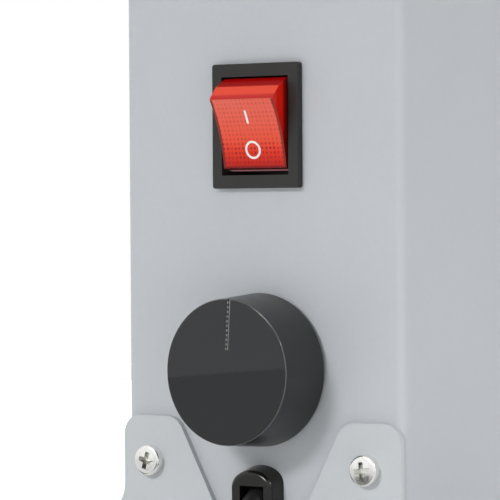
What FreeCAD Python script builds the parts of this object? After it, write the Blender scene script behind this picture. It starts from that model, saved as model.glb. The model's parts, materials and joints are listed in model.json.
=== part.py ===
"""Filament dryer box for one spool, in millimetres.

A narrow sheet-metal cabinet stands on two flared feet. Its control end carries a rocker
switch, a thermostat knob and the mains cord. Behind it lies the spool chamber, with two
rollers over a warm-air deck, a window in one side, a filament outlet and a hinged lid.
X runs across the box, the control end faces -Y, and Z is up from the floor.
"""
import FreeCAD
import Part
import math
import os

V = FreeCAD.Vector

# Cabinet sheet metal
SHEET = 1.0              # thickness of the cabinet sheet
BEND = 2.2               # outside radius of a bend
SEAM = 0.2               # clearance between nested sheets
FLANGE = 10.0            # turned edge of an inner sheet
RIM = 5.0                # lip round the top opening, from the outside of the box
BODY_WIDTH = 84.0
BODY_HEIGHT = 259.0
FLOOR_GAP = 25.0         # floor to the underside of the cabinet
CONTROL_DEPTH = 46.0     # clear depth of the control compartment
CHAMBER_LENGTH = 214.0   # clear length of the spool chamber
DECK_RISE = 41.0         # cabinet underside to the top of the air deck
DECK_SLOT_LENGTH = 16.0
DECK_SLOT_WIDTH = 4.0
DECK_SLOT_PITCH = 11.0
DECK_COLUMN_PITCH = 24.0
DECK_SCREW_X = 15.0
SIDE_SCREW_SHARES = (0.2, 0.5, 0.8)  # heights of the rear side screws on the cabinet
WIRE_HOLE = 5.0          # radius of the wire hole in the partition

# Lid, its gasket and hinges
LID_HEIGHT = 15.0
GASKET = 2.0             # gasket height between rim and lid
GASKET_WIDTH = 2.4
HINGE_LENGTH = 40.0
HINGE_SPACING = 130.0
LEAF = 1.2               # hinge leaf thickness
LEAF_HEIGHT = 12.0
KNUCKLE = 3.0            # knuckle radius
PIN = 1.5                # hinge pin radius
PIN_HEAD = 2.4
RUNNING = 0.05           # radial clearance of a shaft in its hole
LEAF_GAP = 0.3           # play between a leaf and the other leaf's knuckle
RIVET = 1.2              # rivet shank radius
RIVET_HEAD = 2.5
RIVET_CROWN = 1.1
RIVET_ROUND = 1.0        # rounding of the rivet's dome
RIVET_TAIL = 1.8         # radius of the set head behind the sheet
RIVET_PITCH = 26.0
PULL_LENGTH = 60.0
PULL_REACH = 12.0
PULL_SCREW_PITCH = 40.0
PULL_FOOT = 3.0          # thickness of the pull's foot
PULL_HOLLOW = 4.8        # finger hollow's depth from the lid's side
PULL_TIP = 4.0           # thickness of the pull's lip
PULL_EDGE = 1.2
CATCH_LENGTH = 30.0
CATCH_SIZE = 10.0
CATCH_DEPTH = 4.0
CATCH_SPACING = 130.0

# Window in the right side
WINDOW_LENGTH = 150.0
WINDOW_HEIGHT = 120.0
WINDOW_CORNER = 18.0
WINDOW_DROP = 94.0       # cabinet top to the window centre
PANE = 2.0               # pane thickness
SEAL_LIP = 3.2           # seal over the sheet and over the pane
SEAL_WEB = 2.6           # rubber between the sheet edge and the pane edge
SEAL_CHEEK = 1.4         # seal standing out of the sheet on each side

# Control end
KNOB_X = 0.45            # knob right of the middle, as fitted
KNOB_Z = 73.0
KNOB_REACH = 15.9        # knob front ahead of the panel
KNOB_FRONT = 18.0        # knob radius at its front
KNOB_BASE = 19.1         # knob radius at its skirt
KNOB_GAP = 0.8           # skirt to panel
KNOB_WALL = 2.0
KNOB_TOP = 3.0           # thickness of the knob's front
KNOB_EDGE = 0.4
KNOB_ROOT = 1.2          # rounding where the knob's walls meet its front, inside
HUB = 6.0                # knob hub radius
HUB_GAP = 2.5            # knob hub to panel
POINTER_WIDTH = 0.8
POINTER_DEPTH = 0.5
POINTER_START = 5.4      # pointer line from the knob axis
POINTER_TURN = 3.6       # degrees that the pointer leans to the right
SHAFT = 3.0              # thermostat shaft radius
SHAFT_FLAT = 2.0         # flat of the shaft from its axis
SHAFT_END = 1.4          # knob front's inside to the shaft end
SHAFT_SEAT = 9.0         # shaft inside the thermostat
SHAFT_ROOM = 1.0         # shaft to its hole in the panel
STAT_WIDTH = 34.0
STAT_HEIGHT = 44.0
STAT_DEPTH = 22.0
STAT_PLATE = 1.2
STAT_PLATE_HEIGHT = 26.0
STAT_SCREW_X = 11.0
SWITCH_X = -0.25         # switch left of the middle, as fitted
SWITCH_RISE = 60.6       # switch centre above the knob centre
BEZEL_WIDTH = 26.0
BEZEL_HEIGHT = 31.0
BEZEL = 2.0              # bezel thickness
BEZEL_CORNER = 0.7
BEZEL_EDGE = 0.2
WELL_WIDTH = 20.2        # opening that the rocker sits in
WELL_HEIGHT = 24.5
WELL_DEPTH = 10.0        # well floor behind the panel face
SWITCH_BODY_WIDTH = 22.6
SWITCH_BODY_HEIGHT = 28.0
SWITCH_BODY_DEPTH = 20.0
WING = 1.3               # snap wing standing out of the switch body
WING_LENGTH = 7.8
PANEL_FIT = 0.15         # clearance of a control in its cut-out
BLADE_LENGTH = 9.0
BLADE_WIDTH = 6.3
BLADE = 0.8
BLADE_X = 5.5
BLADE_Z = 7.0

# Rocker, in its own frame: out from the pivot, and along from the middle
PIVOT_DEPTH = 0.8        # pivot behind the panel face
ROCKER_TILT = 19.4       # degrees from the middle to either end position
RIDGE_OUT = 6.04
RIDGE_ALONG = 9.0
ROCKER_DISH = 1.05       # hollow of the pressed face
BREAK_OUT = 5.3
BREAK_ALONG = 9.5
FACET_OUT = 2.25
FACET_ALONG = 11.07
HEEL_OUT = 1.94          # heel behind the pivot
HEEL_ALONG = 11.83
HEEL_DRAFT = 1.0         # heel drawn in at the rocker's back
ROCKER_BACK = 4.2
ROCKER_WIDTH = 19.4
ROCKER_FACE_WIDTH = 19.0
ROCKER_WALL = 1.6
PIVOT = 1.6              # pivot pin radius
PIVOT_REACH = 0.9        # pivot pin into the switch body

# Feet
FOOT_SHEET = 1.5
FOOT_HALF = 95.0         # half the foot's width on the floor
FOOT_FLANGE = 24.0       # turned-in sole of the foot
PAD_HEIGHT = 3.0
PAD = 9.0                # foot pad radius
PAD_TOP = 8.3            # foot pad radius under the sole
PAD_EDGE = 0.8
PAD_STEM = 2.9
PAD_BUTTON = 4.5
PAD_INSET = 13.0         # pad centre from the foot's end
EAR_TOP = 60.7           # floor to the tops of the ears
EAR_INNER = 25.3         # ear's inner edge at its top, from the middle
NOTCH_SLOPE = 0.533      # inward run of the notch's sides for each millimetre down
NOTCH_ROUND = 9.0
EAR_OUTER_ROUND = 4.8
EAR_INNER_ROUND = 5.5
ARM_ROOT = 37.7          # floor to where the arm meets the ear
ARM_TIP = 10.0           # height of the arm's end
ARM_ROUND = 9.0
TIP_ROUND = 4.0
FOOT_SCREW_EDGE = 9.2    # foot screw from the side of the box
FOOT_SCREW_SHIFT = -0.7  # pair of foot screws off the middle
FOOT_SCREW_Z = 49.3
SCREW = 2.0              # foot screw shank radius
SCREW_LENGTH = 9.0
SCREW_HEAD = 3.9
SCREW_CROWN = 2.5
NUT = 3.6                # clinch nut radius
NUT_LENGTH = 4.5
HOLE_FIT = 0.2           # radial clearance of a fastener in its hole
CROWN_ROUND = 0.6        # rounding of a pan head, as a share of its crown
RECESS_REACH = 0.55      # cross recess from the screw's axis, as a share of its head
RECESS_HALF = 0.13       # half the cross recess's width, as a share of its head
RECESS_FLOOR = 0.5       # floor of the cross recess, as a share of its crown
SMALL_SCREW = 1.5
SMALL_HEAD = 2.8
SMALL_CROWN = 1.8
SMALL_LENGTH = 6.0

# Rollers and their cradle
ROLLER = 11.0            # rolling radius
ROLLER_CORE = 9.6
ROLLER_PLAY = 3.0        # roller's end to the cradle
TYRE_WIDTH = 12.0
TYRE_SEAT = 1.0          # depth of a tyre's seat in the roller
TYRE_EDGE = 1.0
ROLLER_LIP = 2.0         # roller's end flange
ROLLER_WAIST = 2.0       # depth of the waist between the tyres
WAIST_RUN = 4.0          # slope from a tyre down to the waist
ROLLER_SPACING = 110.0
ROLLER_RISE = 16.0       # deck to the roller axis
AXLE = 4.0
CRADLE_GAP = 3.5         # cradle's upright to the box's side
CRADLE_SHEET = 1.5
CRADLE_LENGTH = 140.0
CRADLE_HEIGHT = 26.0
CRADLE_SOLE = 11.0
BUSH = 6.0
BUSH_FLANGE = 7.6
BUSH_RIM = 1.2
BUSH_LENGTH = 3.2
CRADLE_SCREW_PITCH = 90.0

# Warm air
FAN_SIZE = 60.0
FAN_DEPTH = 15.0
FAN_BORE = 28.5
FAN_CORNER = 4.0
FAN_HOLE_PITCH = 50.0
FAN_HUB = 14.0
FAN_SPIDER = 2.0         # thickness of the fan's spokes
FAN_SPOKE = 3.0
FAN_SPOKES = 3
FAN_SPOKE_TURN = 30.0    # first spoke, in degrees from the X axis
FAN_TIP_GAP = 0.8
FAN_BLADES = 7
FAN_PITCH = 38.0         # blade angle in degrees
FAN_BLADE = 1.2
FAN_SPINDLE = 1.5
INTAKE_SLOT = 4.0
INTAKE_PITCH = 8.0
INTAKE_RADIUS = 27.0
HEATER_LENGTH = 72.0
HEATER_WIDTH = 48.0
HEATER_HEIGHT = 10.0
HEATER_LIFT = 5.0        # fan top to the heater
HEATER_BARS = 3
HEATER_BAR = 4.0
FIN = 0.5
FIN_PITCH = 3.0
END_CAP = 6.0
END_CAP_EDGE = 2.0
STRAP = 1.2              # heater bracket sheet
STRAP_WIDTH = 24.0
STRAP_FOOT = 12.0
CUTOUT_RADIUS = 7.5
CUTOUT_HEIGHT = 7.0
CUTOUT_FLANGE = 2.8      # height of the cut-out's flange
CUTOUT_CAP = 6.4         # radius of the cut-out's cap
CUTOUT_EDGE = 0.4
CUTOUT_TAB_X = 3.75
BULB = 3.0               # sensing bulb radius
BULB_LENGTH = 60.0
BULB_X = 20.0
BULB_FIT = 0.3           # bulb to the deck's underside
CAPILLARY = 1.0
BULB_START = 40.0        # chamber's front wall to the bulb
CAPILLARY_STUB = 8.0     # straight capillary at either end
CAPILLARY_RISE = 2.6     # capillary above the middle of the wire hole
CAPILLARY_PASS = 5.0     # straight capillary on either side of the partition

# Rear
VENT_LENGTH = 44.0
VENT_WIDTH = 3.0
VENT_PITCH = 8.0
VENT_ROWS = 5
VENT_DROP = 20.0         # top vent below the cabinet's top
OUTLET_Z = 205.0
OUTLET_REACH = 14.0
OUTLET_BORE = 2.1
OUTLET_NECK = 5.0
OUTLET_COLLAR = 8.0
OUTLET_COLLAR_LENGTH = 4.0
OUTLET_NOSE = 5.6
OUTLET_EDGE = 1.0
OUTLET_NUT = 8.0
OUTLET_NUT_LENGTH = 4.0

# Mains inlet
HOOD_REACH = 5.2
HOOD_BASE = 6.5          # half width of the hood at the panel
HOOD_FRONT = 6.05        # half width of the hood at its front
HOOD_TOP = 49.3
HOOD_DROP = 1.2          # hood front's top below the hood base's top
HOOD_BOTTOM = 33.0
HOOD_ARCH = 4.4          # rise of the hood's arch
HOOD_EDGE = 1.1          # rounding of the hood's front
LEG_SETBACK = 0.5        # hood's legs behind its front
EXIT_AHEAD = 0.5         # cord's start ahead of the panel
EXIT_RISE = 1.0          # cord's start above the neck's axis
EXIT_FALL = 37.0         # degrees that the cord points down where it starts
EXIT_RUN = 30.5          # cord's first straight run
SLOT_WIDTH = 7.2
BUSH_NECK = 6.1
BUSH_NECK_LENGTH = 9.0
NECK_DROP = 8.8          # hood top to the neck's axis
BUSH_NUT = 9.0
BUSH_NUT_LENGTH = 4.0
TERMINAL_LENGTH = 30.0
TERMINAL_DEPTH = 16.0
TERMINAL_HEIGHT = 14.0
TERMINAL_BACK = 22.0     # panel's inside to the terminal block

# Cord, coil and plug
CORD = 3.4               # cord radius
CORD_FIT = 0.2
COIL_RADIUS = 47.0       # first half turn
COIL_PITCH = 7.5         # turn to turn and layer to layer
COIL_HALF_TURNS = 5      # half turns in each layer
TIE = 1.0                # strap thickness
TIE_WIDTH = 12.0
TIE_GAP = 0.4
PLUG_WIDTH = 27.0
PLUG_HEIGHT = 22.0
PLUG_LENGTH = 18.0
PLUG_TAPER = 20.0
PLUG_CORNER = 5.0
PLUG_NECK_WIDTH = 16.0   # plug body where its sleeve starts
PLUG_NECK_HEIGHT = 13.0
PLUG_NECK_CORNER = 4.0
PLUG_SLEEVE = 5.5        # radius of the plug's tail sleeve
PLUG_SLEEVE_LENGTH = 22.0
PLUG_BLADE_PITCH = 12.7
PLUG_BLADE = 1.5
PLUG_BLADE_WIDTH = 6.3
PLUG_BLADE_LENGTH = 16.0
PLUG_BLADE_OFFSET = 4.0
EARTH_PIN = 2.4
EARTH_PIN_LENGTH = 18.5
EARTH_PIN_OFFSET = 7.9
EARTH_PIN_NOSE = 2.2     # rounding of the earth pin's end
BEND_SHARE = 0.45        # part of the shorter run that each bend of a cord takes
WIRE = 1.3               # radius of an inner wire
WIRE_STUB = 4.0          # straight wire at a terminal
WIRE_CORE_PITCH = 3.0    # cores of the cord where they leave the bushing
WIRE_LANE = 4.5          # wires running up the partition, from its face
WIRE_CLIMB = 20.0        # wire's turn below the switch, and above the partition's hole
WIRE_SPREAD = 15.5       # wires passing the thermostat, from the middle
WIRE_DROP = 22.0         # wire's first drop below the switch
WIRE_PASS_X = 2.4        # heater wires in the partition's hole, from its middle
WIRE_PASS = 6.0          # straight heater wire behind the partition
WIRE_REACH = 14.0        # straight heater wire before the heater's cap
STAT_TAB_Z = 10.0        # thermostat's tabs above and below its shaft
HEATER_WIRE_X = 18.0
MOUTH = 2.6              # radius of a terminal's wire mouth
MOUTH_DEPTH = 4.0

GAP_POINTS = 600         # points on the coil for measuring its least gap to itself
OVERRUN = 20.0           # cutters run this far past what they cut
TINY = 1e-3
QUARTER_TURN = 90.0      # degrees

# Worked out from the sizes above
HALF = BODY_WIDTH / 2
INNER = HALF - SHEET
NEST = INNER - SEAM
BOTTOM = FLOOR_GAP
TOP = BOTTOM + BODY_HEIGHT
PAN_FLOOR = BOTTOM + SHEET
BODY_LENGTH = 3 * SHEET + CONTROL_DEPTH + CHAMBER_LENGTH
FRONT = (KNOB_REACH - OUTLET_REACH - BODY_LENGTH) / 2
REAR = FRONT + BODY_LENGTH
INSIDE = FRONT + SHEET
PARTITION = INSIDE + CONTROL_DEPTH
CHAMBER_FRONT = PARTITION + SHEET
CHAMBER_REAR = REAR - SHEET
CHAMBER_MID = (CHAMBER_FRONT + CHAMBER_REAR) / 2
BODY_MID = (FRONT + REAR) / 2
DECK_Z = BOTTOM + DECK_RISE
WINDOW_Z = TOP - WINDOW_DROP
LID_BOTTOM = TOP + GASKET
LID_TOP = LID_BOTTOM + LID_HEIGHT
HINGE_X = -HALF - KNUCKLE - SEAM
HINGE_Z = TOP + GASKET / 2
SWITCH_Z = KNOB_Z + SWITCH_RISE
SWITCH_SHIFT = V(SWITCH_X, 0, 0)
KNOB_SHIFT = V(KNOB_X, 0, 0)
PIVOT_Y = FRONT + PIVOT_DEPTH
ROLLER_Z = DECK_Z + ROLLER_RISE
CRADLE_X = INNER - CRADLE_GAP - CRADLE_SHEET  # inner face of the cradle's upright
ROLLER_LENGTH = 2 * (CRADLE_X - ROLLER_PLAY)
NECK_Z = HOOD_TOP - NECK_DROP
FAN_TOP = PAN_FLOOR + FAN_DEPTH
HEATER_BOTTOM = FAN_TOP + HEATER_LIFT
STAT_FRONT = INSIDE + STAT_PLATE
SOLE_TOP = PAD_HEIGHT + FOOT_SHEET
PASS_Z = DECK_Z - FLANGE - WIRE_HOLE
PLUG_FACE = PLUG_SLEEVE_LENGTH + PLUG_TAPER + PLUG_LENGTH

# Route of the cord's free stretches: points chosen by hand, from the bushing to the plug
CORD_EXIT = V(0, FRONT - EXIT_AHEAD, NECK_Z + EXIT_RISE)
COIL_Z = CORD + TIE + TIE_GAP
EXIT_OUT = math.cos(math.radians(EXIT_FALL))
EXIT_DOWN = math.sin(math.radians(EXIT_FALL))
CORD_LEAD = [
    CORD_EXIT,
    CORD_EXIT - V(0, EXIT_OUT, EXIT_DOWN) * EXIT_RUN,
    CORD_EXIT + V(10.0, -68.0, COIL_Z - CORD_EXIT.z),
    CORD_EXIT + V(17.0, -118.0, COIL_Z - CORD_EXIT.z),
]
TAIL_RUN = 13.0          # first run of the tail, straight on from the coil
TAIL_STEPS = [V(-3.4, 14.0, PLUG_HEIGHT / 2 - COIL_Z - COIL_PITCH), V(-2.0, 13.0, 0)]


def block(x0, x1, y0, y1, z0, z1):
    """Box between two corners."""
    return Part.makeBox(x1 - x0, y1 - y0, z1 - z0, V(x0, y0, z0))


def rod(radius, start, end):
    """Round bar between two points."""
    run = end - start
    return Part.makeCylinder(radius, run.Length, start, run)


def rounded(shape, radius, chosen):
    """Fillet the edges whose bounding box passes a test."""
    picked = [edge for edge in shape.Edges if chosen(edge.BoundBox)]
    return shape.makeFillet(radius, picked)


def across(y):
    """Plane across the box: outlines in x and z."""
    return lambda point: V(point.x, y, point.y)


def along(x):
    """Plane along the box: outlines in y and z."""
    return lambda point: V(x, point.x, point.y)


def level(z):
    """Level plane: outlines in x and y."""
    return lambda point: V(point.x, point.y, z)


def outline(corners, plane):
    """Closed wire through corners (u, v, rounding) on a plane."""
    count = len(corners)
    bends = []
    for index in range(count):
        u, v, radius = corners[index]
        here = V(u, v, 0)
        before = V(corners[index - 1][0], corners[index - 1][1], 0) - here
        after = V(corners[(index + 1) % count][0], corners[(index + 1) % count][1], 0) - here
        before.normalize()
        after.normalize()
        half = before.getAngle(after) / 2
        reach = radius / math.tan(half)
        inward = before + after
        middle = here
        if radius > 0:
            inward.normalize()
            middle = here + inward * (radius / math.sin(half) - radius)
        bends.append((here + before * reach, middle, here + after * reach, radius))
    edges = []
    for index in range(count):
        start, middle, end, radius = bends[index]
        if radius > 0:
            edges.append(Part.Arc(plane(start), plane(middle), plane(end)).toShape())
        following = bends[(index + 1) % count][0]
        if (following - end).Length > TINY:
            edges.append(Part.LineSegment(plane(end), plane(following)).toShape())
    return Part.Wire(edges)


def rectangle(u, v, width, height, radius):
    """Corners of a rounded rectangle about a centre."""
    return [
        (u - width / 2, v - height / 2, radius),
        (u + width / 2, v - height / 2, radius),
        (u + width / 2, v + height / 2, radius),
        (u - width / 2, v + height / 2, radius),
    ]


def plate(corners, plane, sweep):
    """Plate with a rounded outline, swept along a vector."""
    return Part.Face(outline(corners, plane)).extrude(sweep)


def slot(u, v, length, width, plane, sweep):
    """Round-ended slot cutter, long along u."""
    end = width / 2 - TINY
    return plate(rectangle(u, v, length, width, end), plane, sweep)


def turned(corners):
    """Solid of revolution about Z from corners (radius, height, rounding)."""
    return Part.Face(outline(corners, across(0))).revolve(V(0, 0, 0), V(0, 0, 1), 360)


def hexagon(radius, seat, length):
    """Hexagon prism along +Y from a seat."""
    corners = []
    for index in range(6):
        angle = math.radians(60 * index)
        corners.append((seat.x + radius * math.cos(angle), seat.z + radius * math.sin(angle), 0))
    return plate(corners, across(seat.y), V(0, length, 0))


def aimed(shape, point, direction):
    """Shape built at the origin along +Z, set at a point and turned along a direction."""
    placed = shape.copy()
    placed.Placement = FreeCAD.Placement(point, FreeCAD.Rotation(V(0, 0, 1), direction))
    return placed


def screw(head, crown, shank, length, seat, direction):
    """Pan-head screw with a cross recess: its head stands out along a direction."""
    body = turned([(0, 0, 0), (head, 0, 0), (head, crown, crown * CROWN_ROUND), (0, crown, 0)])
    body = body.fuse(rod(shank, V(0, 0, -length), V(0, 0, 0)))
    arm = head * RECESS_REACH
    width = head * RECESS_HALF
    floor = crown * RECESS_FLOOR
    cross = block(-arm, arm, -width, width, floor, crown + OVERRUN)
    cross = cross.fuse(block(-width, width, -arm, arm, floor, crown + OVERRUN))
    return aimed(body.cut(cross), seat, direction)


def foot_screw(seat, direction):
    return screw(SCREW_HEAD, SCREW_CROWN, SCREW, SCREW_LENGTH, seat, direction)


def small_screw(seat, direction, length=SMALL_LENGTH):
    return screw(SMALL_HEAD, SMALL_CROWN, SMALL_SCREW, length, seat, direction)


def rivet(seat, direction, grip):
    """Dome-head rivet through a grip of sheet, with its set head behind."""
    crown = (RIVET_HEAD, RIVET_CROWN, RIVET_ROUND)
    head = turned([(0, 0, 0), (RIVET_HEAD, 0, 0), crown, (0, RIVET_CROWN, 0)])
    tail = rod(RIVET_TAIL, V(0, 0, -grip - RIVET_CROWN), V(0, 0, -grip))
    shank = rod(RIVET, V(0, 0, -grip), V(0, 0, 0))
    return aimed(head.fuse([shank, tail]), seat, direction)


def holes(radius, points, direction):
    """Round cutters through a list of points, running both ways along a direction."""
    reach = V(direction) * OVERRUN
    return [rod(radius, point - reach, point + reach) for point in points]


def route(points):
    """Straight runs joined by tangent arcs, each as large as its two runs allow."""
    edges = []
    start = points[0]
    radii = []
    for index in range(1, len(points) - 1):
        corner = points[index]
        before = points[index - 1] - corner
        after = points[index + 1] - corner
        reach = BEND_SHARE * min(before.Length, after.Length)
        half_turn = (math.pi - before.getAngle(after)) / 2
        radius = reach / math.tan(half_turn)
        before.normalize()
        after.normalize()
        inward = before + after
        inward.normalize()
        entry = corner + before * reach
        leave = corner + after * reach
        middle = corner + inward * (radius / math.cos(half_turn) - radius)
        edges.append(Part.LineSegment(start, entry).toShape())
        edges.append(Part.Arc(entry, middle, leave).toShape())
        radii.append(round(radius, 1))
        start = leave
    edges.append(Part.LineSegment(start, points[-1]).toShape())
    return Part.Wire(edges), radii


def tube(path, radius, start, heading):
    """Solid round tube swept along a path."""
    ring = Part.Wire([Part.makeCircle(radius, start, heading)])
    return path.makePipeShell([ring], True, False)


def cord_tube(name, points, radius):
    """Tube along a route; prints its bend radii and compares its volume with its length."""
    path, radii = route(points)
    solid = tube(path, radius, points[0], points[1] - points[0])
    share = solid.Volume / (math.pi * radius ** 2 * path.Length)
    print(f"{name}: length {path.Length:.1f}, bend radii {radii}, volume share {share:.4f}")
    return solid


# Places that several pieces share

def side_screw_points():
    """Seats of the side screws on the right; the left ones mirror them."""
    rear_y = REAR - FLANGE / 2 - SHEET
    low_z = BOTTOM + FLANGE / 2 + SHEET
    seats = [V(HALF, rear_y, BOTTOM + BODY_HEIGHT * share) for share in SIDE_SCREW_SHARES]
    seats += [V(HALF, BODY_MID + offset, low_z) for offset in (-BODY_LENGTH / 3, BODY_LENGTH / 3)]
    return seats


def mirrored(points):
    return points + [V(-point.x, point.y, point.z) for point in points]


def foot_screw_points(face):
    reach = HALF - FOOT_SCREW_EDGE
    return [V(side * reach + FOOT_SCREW_SHIFT, face, FOOT_SCREW_Z) for side in (-1, 1)]


def deck_screw_points(face):
    return [V(side * DECK_SCREW_X, face, DECK_Z - FLANGE / 2) for side in (-1, 1)]


def stat_screw_points():
    return [V(side * STAT_SCREW_X, FRONT, KNOB_Z) + KNOB_SHIFT for side in (-1, 1)]


def hinge_middles():
    return [BODY_MID - HINGE_SPACING / 2, BODY_MID + HINGE_SPACING / 2]


def leaf_rivet_points(middle, upper):
    """Rivets of one hinge leaf, on its outer face."""
    height = HINGE_Z + (LEAF_HEIGHT - KNUCKLE if upper else KNUCKLE - LEAF_HEIGHT)
    return [V(-HALF - LEAF, middle + side * RIVET_PITCH / 2, height) for side in (-1, 1)]


def all_rivet_points(upper):
    return [point for middle in hinge_middles() for point in leaf_rivet_points(middle, upper)]


def pull_screw_points():
    height = LID_BOTTOM + LID_HEIGHT / 2
    return [V(HALF - SHEET, BODY_MID + side * PULL_SCREW_PITCH / 2, height) for side in (-1, 1)]


def fan_screw_points():
    offsets = [(a * FAN_HOLE_PITCH / 2, b * FAN_HOLE_PITCH / 2) for a in (-1, 1) for b in (-1, 1)]
    return [V(x, CHAMBER_MID + y, FAN_TOP) for x, y in offsets]


def cradle_screw_points():
    seats = []
    for side in (-1, 1):
        x = side * (CRADLE_X - CRADLE_SOLE / 2)
        seats += [V(x, CHAMBER_MID + end * CRADLE_SCREW_PITCH / 2, DECK_Z + CRADLE_SHEET) for end in (-1, 1)]
    return seats


def roller_middles():
    return {"front": CHAMBER_MID - ROLLER_SPACING / 2, "rear": CHAMBER_MID + ROLLER_SPACING / 2}


def pad_points():
    """Pad centres on the floor, under the soles."""
    rows = [FRONT + FOOT_FLANGE / 2, REAR - FOOT_FLANGE / 2]
    return [V(side * (FOOT_HALF - PAD_INSET), y, 0) for y in rows for side in (-1, 1)]


# Cabinet

def wrap(inset, overrun):
    """Space bounded by the bent sheet: its outside at no inset, its inside at one sheet."""
    front = FRONT + inset
    top = TOP - inset
    rear = REAR + overrun
    solid = block(inset - HALF, HALF - inset, front, rear, BOTTOM - overrun, top)

    def bent(edge):
        upright = edge.YMax < front + TINY and edge.ZLength > TINY
        upper = edge.ZMin > top - TINY and edge.YMin < rear - TINY
        return upright or upper

    return rounded(solid, BEND - inset, bent)


def window_cut(grow, x0, x1):
    """Rounded window shape grown by an amount, between two planes."""
    corners = rectangle(CHAMBER_MID, WINDOW_Z, WINDOW_LENGTH + 2 * grow, WINDOW_HEIGHT + 2 * grow,
                        WINDOW_CORNER + grow)
    return plate(corners, along(x0), V(x1 - x0, 0, 0))


def body_shell():
    """Control end and both sides in one bent sheet, with a lip round the top."""
    shell = wrap(0, 0).cut(wrap(SHEET, OVERRUN))
    mouth = block(RIM - HALF, HALF - RIM, FRONT + RIM, REAR + OVERRUN, TOP - OVERRUN, TOP + OVERRUN)
    width = SWITCH_BODY_WIDTH + 2 * PANEL_FIT
    height = SWITCH_BODY_HEIGHT + 2 * PANEL_FIT
    opening = rectangle(SWITCH_X, SWITCH_Z, width, height, 0)
    switch_hole = plate(opening, across(FRONT - SHEET), V(0, 3 * SHEET, 0))
    cutters = [mouth, switch_hole]
    cutters += holes(SHAFT + SHAFT_ROOM, [V(KNOB_X, FRONT, KNOB_Z)], V(0, 1, 0))
    cutters += holes(SMALL_SCREW + HOLE_FIT, stat_screw_points(), V(0, 1, 0))
    cutters += holes(BUSH_NECK + PANEL_FIT, [V(0, FRONT, NECK_Z)], V(0, 1, 0))
    cutters += holes(SCREW + HOLE_FIT, foot_screw_points(FRONT), V(0, 1, 0))
    cutters += holes(SMALL_SCREW + HOLE_FIT, mirrored(side_screw_points()), V(1, 0, 0))
    cutters += holes(RIVET + HOLE_FIT, all_rivet_points(False), V(1, 0, 0))
    cutters.append(window_cut(0, INNER - SHEET, HALF + SHEET))
    return shell.cut(cutters)


def channel(u0, u1, edge, face, plane, sweep):
    """Sheet with both ends turned back from its face, swept along a vector."""
    turn = math.copysign(SHEET, edge - face)
    corners = [
        (u0, edge, 0), (u0 + SHEET, edge, 0), (u0 + SHEET, face + turn, BEND - SHEET),
        (u1 - SHEET, face + turn, BEND - SHEET), (u1 - SHEET, edge, 0), (u1, edge, 0),
        (u1, face, BEND), (u0, face, BEND),
    ]
    return plate(corners, plane, sweep)


def rear_panel():
    """Back of the box: a flat sheet, a folded strip welded to each side, and a tongue under the gasket."""
    top = TOP - BEND - SEAM
    low = BOTTOM + FLANGE + SEAM
    panel = channel(-NEST, NEST, REAR - FLANGE, REAR, level(low), V(0, 0, top - low))
    skirt = block(BEND - NEST, NEST - BEND, CHAMBER_REAR, REAR, BOTTOM, low)
    half = HALF - RIM - SEAM
    lip = [
        (REAR - RIM, TOP - SHEET, 0), (CHAMBER_REAR, TOP - SHEET, BEND - SHEET),
        (CHAMBER_REAR, top - BEND, 0), (REAR, top - BEND, 0), (REAR, TOP, BEND), (REAR - RIM, TOP, 0),
    ]
    tongue = plate(lip, along(-half), V(2 * half, 0, 0))
    cutters = []
    for row in range(VENT_ROWS):
        height = TOP - VENT_DROP - row * VENT_PITCH
        cutters.append(slot(0, height, VENT_LENGTH, VENT_WIDTH, across(REAR - FLANGE), V(0, 2 * FLANGE, 0)))
    cutters += holes(OUTLET_NECK + HOLE_FIT, [V(0, REAR, OUTLET_Z)], V(0, 1, 0))
    cutters += holes(SCREW + HOLE_FIT, foot_screw_points(REAR), V(0, 1, 0))
    cutters += holes(SMALL_SCREW + HOLE_FIT, deck_screw_points(REAR), V(0, 1, 0))
    cutters += holes(SMALL_SCREW + HOLE_FIT, mirrored(side_screw_points()), V(1, 0, 0))
    whole = panel.fuse([skirt, tongue]).cut(cutters).removeSplitter()
    weld = NEST - BEND - SEAM
    sheet = block(-weld, weld, REAR - FLANGE, REAR, BOTTOM, TOP)
    return Part.makeCompound([whole.common(sheet)] + whole.cut(sheet).Solids)


def pan_space(inset, overrun):
    """Outside of the base pan at no inset, its inside at one sheet."""
    front = INSIDE + SEAM + inset
    rear = CHAMBER_REAR - SEAM - inset
    low = BOTTOM + inset
    solid = block(inset - NEST, NEST - inset, front, rear, low, BOTTOM + FLANGE + overrun)

    def bent(edge):
        return edge.ZMin < low + TINY

    return rounded(solid, BEND - inset, bent)


def base_pan():
    """Floor of the box with turned-up edges and an air intake under the fan."""
    pan = pan_space(0, 0).cut(pan_space(SHEET, OVERRUN))
    rows = int(INTAKE_RADIUS // INTAKE_PITCH)
    cutters = []
    for row in range(-rows, rows + 1):
        offset = row * INTAKE_PITCH
        chord = 2 * math.sqrt(INTAKE_RADIUS ** 2 - offset ** 2)
        y = CHAMBER_MID + offset
        cutters.append(slot(0, y, chord, INTAKE_SLOT, level(BOTTOM - SHEET), V(0, 0, 3 * SHEET)))
    cutters += holes(SMALL_SCREW + HOLE_FIT, fan_screw_points(), V(0, 0, 1))
    cutters += holes(SMALL_SCREW + HOLE_FIT, mirrored(side_screw_points()), V(1, 0, 0))
    room = BUSH_NUT + SHEET
    cutters.append(block(-room, room, INSIDE, INSIDE + BEND + SHEET, NECK_Z - room, BOTTOM + 2 * FLANGE))
    return pan.cut(cutters)


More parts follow.
